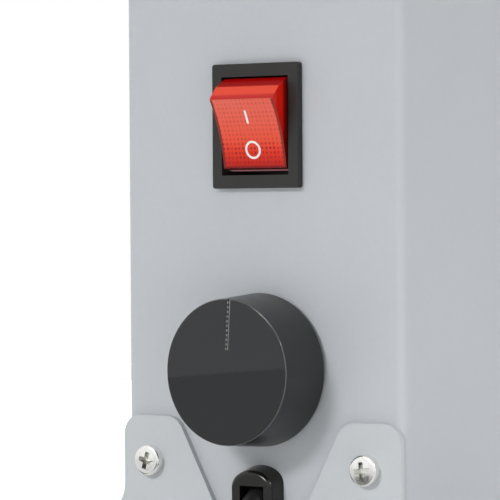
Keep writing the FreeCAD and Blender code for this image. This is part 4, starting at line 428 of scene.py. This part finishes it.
finishes["grey_foam"] = grained_finish(
    "grey_foam", ((0.16, 0.16, 0.17), (0.27, 0.27, 0.28)), (0.85, 0.95), 1400, 1.2e-4, fine=0.5)
finishes["cord_jacket"] = grained_finish(
    "cord_jacket", ((0.010, 0.010, 0.0105), (0.014, 0.014, 0.0145)), (0.34, 0.46), 1200, 6.0e-6)
finishes["strap_fabric"] = grained_finish(
    "strap_fabric", ((0.018, 0.018, 0.019), (0.040, 0.040, 0.042)), (0.80, 0.92), 2200, 1.2e-4, fine=0.6,
    sheen_weight=0.4)
print("finishes:", list(finishes))

# %% [markdown]
# Bare metal is seen by what it reflects. Zinc plate on the screws is bright with faint yellow patches,
# aluminium and brass carry fine scuffs, and galvanised sheet shows its crystals, the spangle.

# %% Metals
SPANGLE_SCALE, SPANGLE_SHARE = 160.0, 0.25


def metal_finish(name, tones, rough, grain, depth, smudge=60.0):
    """Grained finish of bare metal."""
    return grained_finish(name, tones, rough, grain, depth, smudge, scuff=0.5, metallic=1.0)


finishes["zinc_steel"] = metal_finish(
    "zinc_steel", ((0.88, 0.88, 0.88), (0.80, 0.80, 0.74)), (0.13, 0.24), 1800, 5.0e-7, smudge=160.0)
finishes["fin_aluminium"] = metal_finish(
    "fin_aluminium", ((0.80, 0.80, 0.81), (0.72, 0.72, 0.73)), (0.28, 0.42), 1500, 4.0e-6)
finishes["brass"] = metal_finish(
    "brass", ((0.80, 0.62, 0.30), (0.68, 0.50, 0.22)), (0.22, 0.38), 1500, 3.0e-6)
finishes["galvanised"] = metal_finish(
    "galvanised", ((0.62, 0.63, 0.64), (0.52, 0.53, 0.54)), (0.34, 0.50), 700, 4.0e-6)

tree = finishes["galvanised"].node_tree
place = add_node(tree, "ShaderNodeTexCoord")
crystal = add_node(tree, "ShaderNodeTexVoronoi", {"Scale": SPANGLE_SCALE, "Randomness": 1.0})
shade = add_node(tree, "ShaderNodeSeparateColor")
spangle = add_node(tree, "ShaderNodeMix", {"Factor": SPANGLE_SHARE}, data_type="RGBA",
                   blend_type="OVERLAY")
grey = add_node(tree, "ShaderNodeCombineColor")
shader = tree.nodes["Principled BSDF"]
old_tone = shader.inputs["Base Color"].links[0].from_socket
tree.links.new(place.outputs["Object"], crystal.inputs["Vector"])
tree.links.new(crystal.outputs["Color"], shade.inputs["Color"])
for channel in ("Red", "Green", "Blue"):
    tree.links.new(shade.outputs["Red"], grey.inputs[channel])
tree.links.new(old_tone, spangle.inputs["A"])
tree.links.new(grey.outputs["Color"], spangle.inputs["B"])
tree.links.new(spangle.outputs["Result"], shader.inputs["Base Color"])
print("finishes:", list(finishes))

# %% [markdown]
# The knob has two surfaces: its front is polished flat and mirrors the edge of the table, while its side
# is satin. Both are one moulding, so one material holds them, and the place along the knob's axis decides.
# Where the two meet, a thin pale band is painted round the edge: a painted highlight.

# %% Polished knob front
KNOB_FRONT_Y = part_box("control_knob")[0].y
POLISH = 0.015
POLISH_START, POLISH_END = KNOB_FRONT_Y + 0.45 * MM, KNOB_FRONT_Y + 0.05 * MM
KNOB_RIDGE = 0.10 * MM
KNOB_RIDGE_Y = KNOB_FRONT_Y + 0.16 * MM
EDGE_HIGHLIGHT_TONE = (0.10, 0.10, 0.10, 1)

tree = finishes["black_knob"].node_tree
shader = tree.nodes["Principled BSDF"]
place = add_node(tree, "ShaderNodeTexCoord")
axes = add_node(tree, "ShaderNodeSeparateXYZ")
front = add_node(tree, "ShaderNodeMapRange", {"From Min": POLISH_START, "From Max": POLISH_END})
polish = add_node(tree, "ShaderNodeMix", {"B": POLISH}, data_type="FLOAT")
satin = shader.inputs["Roughness"].links[0].from_socket
tree.links.new(place.outputs["Object"], axes.inputs["Vector"])
tree.links.new(axes.outputs["Y"], front.inputs["Value"])
tree.links.new(front.outputs["Result"], polish.inputs["Factor"])
tree.links.new(satin, polish.inputs["A"])
tree.links.new(polish.outputs["Result"], shader.inputs["Roughness"])
# A thin pale band round the front edge is a painted highlight.
ridge = add_node(tree, "ShaderNodeMath", {1: KNOB_RIDGE_Y, 2: KNOB_RIDGE}, operation="COMPARE")
edge_highlight = add_node(tree, "ShaderNodeMix", {"B": EDGE_HIGHLIGHT_TONE}, data_type="RGBA")
moulded = shader.inputs["Base Color"].links[0].from_socket
tree.links.new(axes.outputs["Y"], ridge.inputs[0])
tree.links.new(ridge.outputs[0], edge_highlight.inputs["Factor"])
tree.links.new(moulded, edge_highlight.inputs["A"])
tree.links.new(edge_highlight.outputs["Result"], shader.inputs["Base Color"])
print("knob front at", round(KNOB_FRONT_Y, 5))

# %% [markdown]
# The window is clear polycarbonate. It keeps plain transmission values on the shader, and only its gloss
# varies with handling. The printed marks are a plain ink, and the pointer's bars a plain pale grey, a painted
# highlight.

# %% Clear pane, ink and pointer highlight
finishes["clear_pane"] = grained_finish(
    "clear_pane", ((0.93, 0.95, 0.96), (0.90, 0.93, 0.94)), (0.02, 0.07), 300, 1.0e-6,
    transmission_weight=1.0, ior=1.58)
finishes["mark_ink"] = grained_finish(
    "mark_ink", ((0.88, 0.84, 0.82), (0.94, 0.91, 0.89)), (0.35, 0.45), 2500, 2.0e-6)
# The pointer's pale grey stands for light caught on the groove's edges: a painted highlight.
finishes["pointer_highlight"] = grained_finish(
    "pointer_highlight", ((0.38, 0.38, 0.38), (0.48, 0.48, 0.48)), (0.45, 0.60), 2500, 6.0e-6, scuff=0.6)
print("finishes:", list(finishes))

# %% [markdown]
# The rocker is a hollow red moulding. Small prisms on its inside show through the face as a grid of dots,
# some lighter and some darker. Its tones along its length are partly its red and partly painted light and
# shade: the face is painted lighter towards one end, a painted sheen, each facet has a lit or shaded tone of
# its own, the borders and the side in the well are painted darker, a painted shade, and the lower facet has
# a painted highlight. The prisms could be cut in the mesh, but the real face is smooth, so the grid is a
# pattern, laid out in the rocker's own tilted frame in millimetres by a Mapping node.

# %% Red lens
ROCKER_TILT = math.radians(19.4)
ROCKER_TURN = (math.pi / 2 + ROCKER_TILT, 0, 0)
ROCKER_PIVOT = Vector(next(joint["pos_m"] for joint in frame["joints"] if joint["name"] == "rocker_tilt"))
PRISM_PITCH = 1.17           # millimetres
PRISM_PATCHES = 0.55         # light and dark patches of prisms, per millimetre
LENS_REACH = 12.0            # half of the length that the tones cover
# These tones are partly the plastic's red and partly painted light and shade: a lit or shaded tone on each facet,
# a painted sheen towards one end of the face, and painted shade at the ends in the well.
LENS_TONES = (               # distance along the rocker in millimetres, colour
    (-11.15, (0.46, 0.003, 0.003)), (-11.0, (0.90, 0.052, 0.011)), (-10.2, (0.90, 0.052, 0.011)),
    (-10.0, (0.18, 0.009, 0.010)), (-8.60, (0.18, 0.009, 0.010)), (-8.35, (0.52, 0.012, 0.004)),
    (-5.0, (0.76, 0.038, 0.013)), (-2.0, (0.83, 0.088, 0.043)), (3.0, (0.82, 0.118, 0.072)),
    (8.9, (0.81, 0.144, 0.100)), (9.05, (0.56, 0.008, 0.005)), (9.6, (0.66, 0.010, 0.005)),
    (9.9, (0.90, 0.052, 0.011)), (11.0, (0.90, 0.052, 0.011)), (11.15, (0.46, 0.003, 0.003)))
EDGE_SHADE_TONE = (0.12, 0.022, 0.018, 1)
SIDE_TONE = (0.62, 0.010, 0.003, 1)
WELL_SHADE_TONE = (0.16, 0.003, 0.002, 1)
DOT_TONE = (0.34, 0.008, 0.008, 1)
FACET_HIGHLIGHT_TONE = (0.17, 0.090, 0.098, 1)
# The dark borders of the face are painted shade.
EDGE_START, EDGE_FULL, EDGE_SHARE = 8.80, 8.95, 0.85    # dark borders, millimetres from the middle
SIDE_START, SIDE_FULL = 9.46, 9.50
FACE_END, FACE_FULL = 8.95, 8.75
DOT_RIM, DOT_CORE = 0.42, 0.14                          # shares of the prisms' pitch
DOTS_STRONG, DOTS_FAINT = (-3.2, 0.90), (-1.2, 0.34)    # place along the rocker, share of the dots' tone
PATCH_LOW, PATCH_HIGH, PATCH_LEAST = 0.35, 0.60, 0.45    # noise range, and the dots' least strength
FACET_HIGHLIGHT_START, FACET_HIGHLIGHT_FULL = -9.95, -10.15
BEZEL_FRONT_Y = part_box("switch_housing")[0].y
DIP_START, DIP_FULL = BEZEL_FRONT_Y - 1.9 * MM, BEZEL_FRONT_Y - 0.8 * MM


def lay_tone(tree, mask, under, tone):
    """Lays a plain tone over another where the mask is 1, and gives the result."""
    mix = add_node(tree, "ShaderNodeMix", data_type="RGBA")
    mix.inputs["B"].default_value = tone
    tree.links.new(mask, mix.inputs["Factor"])
    tree.links.new(under, mix.inputs["A"])
    return mix.outputs["Result"]


finishes["red_lens"] = grained_finish(
    "red_lens", ((0.8, 0.05, 0.02), (0.8, 0.05, 0.02)), (0.10, 0.18), 900, 6.0e-7, scuff=0.2,
    specular_ior_level=0.25)
tree = finishes["red_lens"].node_tree
links = tree.links
shader = tree.nodes["Principled BSDF"]
place = add_node(tree, "ShaderNodeTexCoord")
local = add_node(tree, "ShaderNodeMapping", {"Location": ROCKER_PIVOT, "Rotation": ROCKER_TURN,
                                             "Scale": (MM, MM, MM)}, vector_type="TEXTURE")
axes = add_node(tree, "ShaderNodeSeparateXYZ")
share = add_node(tree, "ShaderNodeMapRange", {"From Min": -LENS_REACH, "From Max": LENS_REACH})
ramp = add_node(tree, "ShaderNodeValToRGB")
links.new(place.outputs["Object"], local.inputs["Vector"])
links.new(local.outputs["Vector"], axes.inputs["Vector"])
links.new(axes.outputs["Y"], share.inputs["Value"])
links.new(share.outputs["Result"], ramp.inputs[0])
stops = ramp.color_ramp.elements
for spare in range(len(LENS_TONES) - len(stops)):
    stops.new(0.5)
for stop, (along, tone) in zip(stops, LENS_TONES):
    stop.position = (along + LENS_REACH) / (2 * LENS_REACH)
    stop.color = (*tone, 1)

across = add_node(tree, "ShaderNodeMath", operation="ABSOLUTE")
along = add_node(tree, "ShaderNodeMath", operation="ABSOLUTE")
edge = add_node(tree, "ShaderNodeMapRange", {"From Min": EDGE_START, "From Max": EDGE_FULL,
                                             "To Max": EDGE_SHARE})
side = add_node(tree, "ShaderNodeMapRange", {"From Min": SIDE_START, "From Max": SIDE_FULL})
face = add_node(tree, "ShaderNodeMapRange", {"From Min": FACE_END, "From Max": FACE_FULL})
links.new(axes.outputs["X"], across.inputs[0])
links.new(axes.outputs["Y"], along.inputs[0])
links.new(across.outputs[0], edge.inputs["Value"])
links.new(across.outputs[0], side.inputs["Value"])
links.new(along.outputs[0], face.inputs["Value"])

cells = add_node(tree, "ShaderNodeVectorMath", {1: (1 / PRISM_PITCH,) * 3}, operation="MULTIPLY")
within = add_node(tree, "ShaderNodeVectorMath", operation="FRACTION")
centred = add_node(tree, "ShaderNodeVectorMath", {1: (0.5, 0.5, 0.0)}, operation="SUBTRACT")
flat = add_node(tree, "ShaderNodeVectorMath", {1: (1, 1, 0)}, operation="MULTIPLY")
reach = add_node(tree, "ShaderNodeVectorMath", operation="LENGTH")
dot = add_node(tree, "ShaderNodeMapRange", {"From Min": DOT_RIM, "From Max": DOT_CORE})
fade = add_node(tree, "ShaderNodeMapRange", {"From Min": DOTS_STRONG[0], "From Max": DOTS_FAINT[0],
                                             "To Min": DOTS_STRONG[1], "To Max": DOTS_FAINT[1]})
links.new(local.outputs["Vector"], cells.inputs[0])
links.new(cells.outputs[0], within.inputs[0])
links.new(within.outputs[0], centred.inputs[0])
links.new(centred.outputs[0], flat.inputs[0])
links.new(flat.outputs[0], reach.inputs[0])
links.new(reach.outputs["Value"], dot.inputs["Value"])
links.new(axes.outputs["Y"], fade.inputs["Value"])
patches = add_node(tree, "ShaderNodeTexNoise", {"Scale": PRISM_PATCHES, "Detail": 1.0})
patchy = add_node(tree, "ShaderNodeMapRange", {"From Min": PATCH_LOW, "From Max": PATCH_HIGH,
                                               "To Min": PATCH_LEAST})
links.new(local.outputs["Vector"], patches.inputs["Vector"])
links.new(patches.outputs[0], patchy.inputs["Value"])


def both_masks(tree, first, second):
    """Mask that is 1 only where two masks are."""
    product = add_node(tree, "ShaderNodeMath", operation="MULTIPLY")
    tree.links.new(first, product.inputs[0])
    tree.links.new(second, product.inputs[1])
    return product.outputs[0]


on_face = face.outputs["Result"]
dots = both_masks(tree, both_masks(tree, dot.outputs["Result"], fade.outputs["Result"]), on_face)
dots = both_masks(tree, dots, patchy.outputs["Result"])
borders = both_masks(tree, edge.outputs["Result"], on_face)
tone = lay_tone(tree, dots, ramp.outputs["Color"], DOT_TONE)
tone = lay_tone(tree, borders, tone, EDGE_SHADE_TONE)
tone = lay_tone(tree, side.outputs["Result"], tone, SIDE_TONE)

# The side is painted darker where it dips into the well, a painted shade, and the lower facet gets a painted
# highlight from its emission.
depth = add_node(tree, "ShaderNodeSeparateXYZ")
dip = add_node(tree, "ShaderNodeMapRange", {"From Min": DIP_START, "From Max": DIP_FULL})
low_facet = add_node(tree, "ShaderNodeMapRange", {"From Min": FACET_HIGHLIGHT_START, "From Max": FACET_HIGHLIGHT_FULL})
links.new(place.outputs["Object"], depth.inputs["Vector"])
links.new(depth.outputs["Y"], dip.inputs["Value"])
links.new(axes.outputs["Y"], low_facet.inputs["Value"])
tone = lay_tone(tree, both_masks(tree, side.outputs["Result"], dip.outputs["Result"]), tone, WELL_SHADE_TONE)
links.new(tone, shader.inputs["Base Color"])
# The lower facet's emission is a painted highlight.
lower_facet_highlight = add_node(tree, "ShaderNodeMix", {"A": (0, 0, 0, 1), "B": FACET_HIGHLIGHT_TONE}, data_type="RGBA")
links.new(low_facet.outputs["Result"], lower_facet_highlight.inputs["Factor"])
links.new(lower_facet_highlight.outputs["Result"], shader.inputs["Emission Color"])
shader.inputs["Emission Strength"].default_value = 1.0
print("lens tones:", len(LENS_TONES))

# %% [markdown]
# Pieces are modelled by hand from primitives. A few helpers keep the steps short: one opens a piece for
# editing, one picks faces or edges by their place, one applies the modifiers, one applies the finished
# piece's place and ties it to its body, and one deselects everything before the next piece.

# %% Modelling helpers
def open_piece(piece, name):
    """Names a new primitive and opens it for editing."""
    piece.name = piece.data.name = name
    bpy.ops.object.mode_set(mode="EDIT")
    return piece


def pick(piece, kind, test):
    """Selects only the faces or edges whose middle and direction pass a test."""
    bpy.ops.mesh.select_all(action="DESELECT")
    bpy.ops.mesh.select_mode(type=kind)
    shape = bmesh.from_edit_mesh(piece.data)
    if kind == "FACE":
        for face in shape.faces:
            face.select_set(test(face.calc_center_median(), face.normal))
    else:
        for edge in shape.edges:
            ends = [corner.co for corner in edge.verts]
            edge.select_set(test((ends[0] + ends[1]) / 2, ends[1] - ends[0]))
    bmesh.update_edit_mesh(piece.data)


def apply_modifiers(piece):
    """Applies a piece's modifiers in order."""
    bpy.context.view_layer.objects.active = piece
    for modifier in list(piece.modifiers):
        bpy.ops.object.modifier_apply(modifier=modifier.name)


def settle(piece, body, finish):
    """Applies a piece's place, gives it its finish and ties it to its body."""
    bpy.ops.object.select_all(action="DESELECT")
    piece.select_set(True)
    bpy.context.view_layer.objects.active = piece
    bpy.ops.object.transform_apply(location=True, rotation=True, scale=True)
    bpy.ops.object.shade_smooth_by_angle(angle=math.radians(35))
    piece.data.materials.clear()
    piece.data.materials.append(finishes[finish])
    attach(piece, body)
    print(piece.name, "faces:", len(piece.data.polygons))


def fresh_start():
    """Deselects everything before a new primitive."""
    bpy.ops.object.select_all(action="DESELECT")


# %% [markdown]
# The switch carries two plain marks, a bar for on and a ring for off, printed on the dished face. Each is
# a flat shape that is dropped onto the face with Shrinkwrap, then given a film's thickness. They could be
# painted in the material, but as film they keep a crisp edge at any distance.

# %% Switch marks
MARK_LIFT = 9.0 * MM
MARK_FILM = 0.04 * MM
BAR_WIDTH, BAR_LOW, BAR_HIGH = 0.62 * MM, 2.3 * MM, 5.8 * MM
RING_RADIUS, RING_STROKE, RING_ALONG = 2.3 * MM, 0.56 * MM, -4.5 * MM
BAR_CUTS, RING_SIDES = 7, 56

rocker_frame = Matrix.Translation(ROCKER_PIVOT) @ Matrix.Rotation(ROCKER_TURN[0], 4, "X")


def lay_on_rocker(mark):
    """Drops a flat mark onto the rocker's face and makes it a thin film."""
    drop = mark.modifiers.new("drop", "SHRINKWRAP")
    drop.target = frame["nodes"]["switch_rocker"]
    drop.wrap_method = "PROJECT"
    drop.use_project_z = True
    drop.use_positive_direction = False
    drop.use_negative_direction = True
    drop.offset = MARK_FILM / 4
    film = mark.modifiers.new("film", "SOLIDIFY")
    film.thickness = MARK_FILM
    film.offset = 1
    apply_modifiers(mark)
    settle(mark, "rocker", "mark_ink")


fresh_start()
bpy.ops.mesh.primitive_plane_add(size=1, rotation=ROCKER_TURN,
                                 location=rocker_frame @ Vector((0, (BAR_LOW + BAR_HIGH) / 2, MARK_LIFT)))
bar = bpy.context.object
bar.scale = (BAR_WIDTH, BAR_HIGH - BAR_LOW, 1)
bpy.ops.object.transform_apply(location=False, rotation=False, scale=True)
open_piece(bar, "on_mark")
bpy.ops.mesh.subdivide(number_cuts=BAR_CUTS)
bpy.ops.object.mode_set(mode="OBJECT")
lay_on_rocker(bar)

fresh_start()
bpy.ops.mesh.primitive_circle_add(vertices=RING_SIDES, radius=RING_RADIUS, fill_type="NGON",
                                  rotation=ROCKER_TURN,
                                  location=rocker_frame @ Vector((0, RING_ALONG, MARK_LIFT)))
ring = open_piece(bpy.context.object, "off_mark")
bpy.ops.mesh.select_all(action="SELECT")
bpy.ops.mesh.inset(thickness=RING_STROKE)
bpy.ops.mesh.delete(type="FACE")
bpy.ops.object.mode_set(mode="OBJECT")
lay_on_rocker(ring)

# %% [markdown]
# The knob's pointer is an engraved groove whose edges catch the light. Pale bars along its two walls are
# painted highlights: a whole line on the right, and on the left a dashed line. Each is a thin bar that fills one
# side of the groove.

# %% Pointer highlights
POINTER_TURN = math.radians(3.6)
GROOVE_HALF, GROOVE_DEPTH = 0.40 * MM, 0.50 * MM
GROOVE_START, GROOVE_END = 5.4 * MM, 17.95 * MM
HIGHLIGHT_WIDTH, HIGHLIGHT_SUNK = 0.17 * MM, 0.03 * MM
DASHES, DASH_SHARE = 11, 0.55

knob_joint = next(joint for joint in frame["joints"] if joint["name"] == "knob_turn")
knob_axis = Vector(knob_joint["pos_m"])


def highlight_bar(name, side, length):
    """Pale bar on one wall of the groove, a painted highlight, from the groove's inner end outwards."""
    fresh_start()
    bpy.ops.mesh.primitive_cube_add(size=1)
    bar = bpy.context.object
    depth = GROOVE_DEPTH - HIGHLIGHT_SUNK
    bar.scale = (HIGHLIGHT_WIDTH, depth, length)
    bar.location = (side * (GROOVE_HALF - HIGHLIGHT_WIDTH / 2), KNOB_FRONT_Y + HIGHLIGHT_SUNK + depth / 2,
                    GROOVE_START + length / 2)
    bpy.ops.object.transform_apply(location=True, rotation=True, scale=True)
    open_piece(bar, name)
    pick(bar, "EDGE", lambda middle, run: middle.y < KNOB_FRONT_Y + 2 * HIGHLIGHT_SUNK)
    bpy.ops.mesh.bevel(offset=HIGHLIGHT_WIDTH / 5, segments=2, affect="EDGES")
    bpy.ops.object.mode_set(mode="OBJECT")
    return bar


def place_on_knob(bar):
    """Turns a bar to where the pointer stands and moves it to the knob's axis."""
    axis_place = Matrix.Translation((knob_axis.x, 0, knob_axis.z))
    bar.matrix_world = axis_place @ Matrix.Rotation(POINTER_TURN, 4, "Y")
    settle(bar, "knob", "pointer_highlight")


groove = GROOVE_END - GROOVE_START
place_on_knob(highlight_bar("pointer_line", 1, groove))
dash = highlight_bar("pointer_dashes", -1, groove / DASHES * DASH_SHARE)
row = dash.modifiers.new("row", "ARRAY")
row.count = DASHES
row.use_relative_offset = False
row.use_constant_offset = True
row.constant_offset_displace = (0, 0, groove / DASHES)
apply_modifiers(dash)
place_on_knob(dash)

# %% [markdown]
# The feet are held by pan-head screws with a cross recess. One is modelled: a cylinder whose top edge is
# bevelled, whose top is raised to a low dome, and which two tapered bars cut crosswise with a Boolean. Its
# copies sit where the CAD screws are, each driven home to an angle of its own.

# %% Foot screws
SCREW_RADIUS, SCREW_CROWN, SCREW_EDGE, SCREW_DOME = 3.9 * MM, 2.5 * MM, 0.80 * MM, 0.24 * MM
SHANK_RADIUS, SHANK_LENGTH = 2.0 * MM, 9.0 * MM
CROSS_REACH, CROSS_WIDTH, CROSS_DEPTH, CROSS_TAPER = 3.0 * MM, 1.75 * MM, 2.2 * MM, 0.5
SCREW_SIDES, DOME_RING, DOME_STEPS = 64, 0.25, (0.5, 0.3, 0.2)    # the dome's rings and what each rises
SCREW_ANGLES = {(-1, -1): -17, (1, -1): 6, (-1, 1): 31, (1, 1): -40}

fresh_start()
rim = SCREW_CROWN - SCREW_DOME
bpy.ops.mesh.primitive_cylinder_add(vertices=SCREW_SIDES, radius=SCREW_RADIUS, depth=rim,
                                    location=(0, 0, rim / 2))
screw = bpy.context.object
bpy.ops.object.transform_apply(location=True, rotation=True, scale=True)
open_piece(screw, "foot_screw_heads")
pick(screw, "FACE", lambda middle, normal: normal.z > 0.9)
bpy.ops.mesh.inset(thickness=SCREW_EDGE, depth=0)
for step in DOME_STEPS:
    bpy.ops.mesh.inset(thickness=(SCREW_RADIUS - SCREW_EDGE) * DOME_RING, depth=SCREW_DOME * step)
pick(screw, "EDGE", lambda middle, run: abs(middle.z - rim) < SCREW_EDGE / 20 and abs(run.z) < SCREW_EDGE / 20
     and middle.xy.length > SCREW_RADIUS - SCREW_EDGE / 4 and abs(middle.xy.dot(run.xy)) < 1e-9)
bpy.ops.mesh.bevel(offset=SCREW_EDGE * 0.9, segments=5, profile=0.5, affect="EDGES")
pick(screw, "FACE", lambda middle, normal: normal.z < -0.9)
bpy.ops.mesh.inset(thickness=SCREW_RADIUS - SHANK_RADIUS)
bpy.ops.mesh.extrude_region_move(TRANSFORM_OT_translate={"value": (0, 0, -SHANK_LENGTH)})
bpy.ops.object.mode_set(mode="OBJECT")

for quarter in (0, 1):
    fresh_start()
    bpy.ops.mesh.primitive_cube_add(size=1)
    cutter = bpy.context.object
    cutter.scale = (2 * CROSS_REACH, CROSS_WIDTH, 2 * CROSS_DEPTH)
    cutter.location = (0, 0, SCREW_CROWN)
    cutter.rotation_euler = (0, 0, quarter * math.pi / 2)
    bpy.ops.object.transform_apply(location=True, rotation=True, scale=True)
    open_piece(cutter, "cross_cutter")
    pick(cutter, "FACE", lambda middle, normal: normal.z < -0.9)
    bpy.ops.transform.resize(value=(CROSS_TAPER, CROSS_TAPER, 1))
    bpy.ops.object.mode_set(mode="OBJECT")
    cross = screw.modifiers.new("cross", "BOOLEAN")
    cross.object = cutter
    cross.solver = "EXACT"
    apply_modifiers(screw)
    bpy.data.objects.remove(cutter)

low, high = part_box("foot_screws")
copies = []
for (side, end), angle in SCREW_ANGLES.items():
    copy = screw.copy()
    copy.data = screw.data.copy()
    bpy.context.scene.collection.objects.link(copy)
    seat = Vector((low.x + SCREW_RADIUS if side < 0 else high.x - SCREW_RADIUS,
                   low.y + SCREW_CROWN if end < 0 else high.y - SCREW_CROWN, (low.z + high.z) / 2))
    outwards = Matrix.Rotation(-end * math.pi / 2, 4, "X") @ Matrix.Rotation(math.radians(angle), 4, "Z")
    copy.matrix_world = Matrix.Translation(seat) @ outwards
    copies.append(copy)
bpy.data.objects.remove(screw)
fresh_start()
for copy in copies:
    copy.select_set(True)
bpy.context.view_layer.objects.active = copies[0]
bpy.ops.object.join()
screws = bpy.context.object
screws.name = screws.data.name = "foot_screw_heads"
settle(screws, "root", "zinc_steel")
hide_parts("foot_screws")

# %% [markdown]
# A fabric strap ties the coil. It starts as a box without ends, whose long edges are bevelled to go round
# the cord, and Solidify gives it its thickness. A second, shorter piece is the strap's free end, pressed
# down over the loop.

# %% Coil strap
STRAP_WIDTH, STRAP_LENGTH, STRAP_HEIGHT = 12.0 * MM, 26.1 * MM, 17.1 * MM
STRAP_THICKNESS = 1.0 * MM
STRAP_CORNER = 4.4 * MM
TAB_LENGTH, TAB_THICKNESS = 15.0 * MM, 0.9 * MM
TAB_SHARE = 0.94             # of the strap's width
TAB_BEND = Vector((0, 0.72, -0.28)) * STRAP_CORNER

low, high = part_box("cord_tie")
strap_turn = math.atan2(heading.y, heading.x) - math.pi / 2
strap_frame = Matrix.Translation((low + high) / 2) @ Matrix.Rotation(strap_turn, 4, "Z")

fresh_start()
bpy.ops.mesh.primitive_cube_add(size=1)
strap = bpy.context.object
strap.scale = (STRAP_WIDTH, STRAP_LENGTH, STRAP_HEIGHT)
bpy.ops.object.transform_apply(location=True, rotation=True, scale=True)
open_piece(strap, "coil_strap")
pick(strap, "FACE", lambda middle, normal: abs(normal.x) > 0.9)
bpy.ops.mesh.delete(type="FACE")
pick(strap, "EDGE", lambda middle, run: abs(run.x) > STRAP_WIDTH / 2)
bpy.ops.mesh.bevel(offset=STRAP_CORNER, segments=8, affect="EDGES")
bpy.ops.object.mode_set(mode="OBJECT")
wall = strap.modifiers.new("wall", "SOLIDIFY")
wall.thickness = STRAP_THICKNESS
wall.offset = -1
soft = strap.modifiers.new("soft", "BEVEL")
soft.width = STRAP_THICKNESS / 4
soft.segments = 2
soft.limit_method = "ANGLE"
apply_modifiers(strap)

fresh_start()
bpy.ops.mesh.primitive_plane_add(size=1)
tab = bpy.context.object
tab.scale = (STRAP_WIDTH * TAB_SHARE, TAB_LENGTH, 1)
tab.location = (0, STRAP_LENGTH / 2 - STRAP_CORNER - TAB_LENGTH / 2, STRAP_HEIGHT / 2 + TAB_THICKNESS * 0.05)
bpy.ops.object.transform_apply(location=True, rotation=True, scale=True)
open_piece(tab, "strap_tab")
pick(tab, "EDGE", lambda middle, run: middle.y > STRAP_LENGTH / 2 - STRAP_CORNER - TAB_LENGTH / 20)
bpy.ops.mesh.extrude_region_move(TRANSFORM_OT_translate={"value": TAB_BEND})
bpy.ops.object.mode_set(mode="OBJECT")
wall = tab.modifiers.new("wall", "SOLIDIFY")
wall.thickness = TAB_THICKNESS
wall.offset = 1
soft = tab.modifiers.new("soft", "BEVEL")
soft.width = TAB_THICKNESS / 3
soft.segments = 3
apply_modifiers(tab)
fresh_start()
tab.select_set(True)
strap.select_set(True)
bpy.context.view_layer.objects.active = strap
bpy.ops.object.join()
strap.matrix_world = strap_frame
settle(strap, "root", "strap_fabric")
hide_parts("cord_tie")

# %% [markdown]
# The plug's sleeve is ribbed so that the cord bends gently where it goes in. A cone a little larger than
# the CAD sleeve is cut into bands with Bisect, and every second band is pressed inwards.

# %% Ribbed sleeve
SLEEVE_LENGTH, SLEEVE_START, SLEEVE_END = 20.0 * MM, 4.7 * MM, 6.1 * MM
SLEEVE_BANDS, SLEEVE_GROOVE, SLEEVE_SIDES = 13, 0.7 * MM, 48

sleeve_run = CORD_TAIL[-1].normalized()
fresh_start()
bpy.ops.mesh.primitive_cone_add(vertices=SLEEVE_SIDES, radius1=SLEEVE_START, radius2=SLEEVE_END,
                                depth=SLEEVE_LENGTH, location=(0, 0, SLEEVE_LENGTH / 2))
sleeve = bpy.context.object
bpy.ops.object.transform_apply(location=True, rotation=True, scale=True)
open_piece(sleeve, "plug_sleeve_ribs")
for band in range(1, SLEEVE_BANDS):
    bpy.ops.mesh.select_all(action="SELECT")
    bpy.ops.mesh.bisect(plane_co=(0, 0, SLEEVE_LENGTH * band / SLEEVE_BANDS), plane_no=(0, 0, 1))
pick(sleeve, "FACE", lambda middle, normal: abs(normal.z) < 0.5
     and int(middle.z / SLEEVE_LENGTH * SLEEVE_BANDS) % 2 == 1)
bpy.ops.mesh.extrude_region_shrink_fatten(TRANSFORM_OT_shrink_fatten={"value": -SLEEVE_GROOVE})
bpy.ops.object.mode_set(mode="OBJECT")
soft = sleeve.modifiers.new("soft", "BEVEL")
soft.width = SLEEVE_GROOVE / 4
soft.segments = 2
soft.limit_method = "ANGLE"
apply_modifiers(sleeve)
sleeve_turn = sleeve_run.to_track_quat("Z", "Y").to_matrix().to_4x4()
sleeve.matrix_world = Matrix.Translation(cord_points[-1]) @ sleeve_turn
settle(sleeve, "root", "cord_jacket")

# %% [markdown]
# The cord gets its jacket finish and is tied to the root body, as the ribs and the strap are, and the CAD cord is
# hidden.

mains_cord.data.materials.append(finishes["cord_jacket"])
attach(mains_cord, "root")
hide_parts("cord_lead", "cord_coil", "cord_tail")

# %% [markdown]
# Every solid then gets the finish that its record names. The cord's bushing is the one exception: its nylon
# is smoother and darker than the other black mouldings.

# %% Dress the solids
for part in frame["record"]["subparts"]:
    for slot in frame["nodes"][part["node"]].material_slots:
        slot.material = finishes[part["material_slot"]]
for slot in frame["nodes"]["cord_bushing"].material_slots:
    slot.material = finishes["bushing_nylon"]
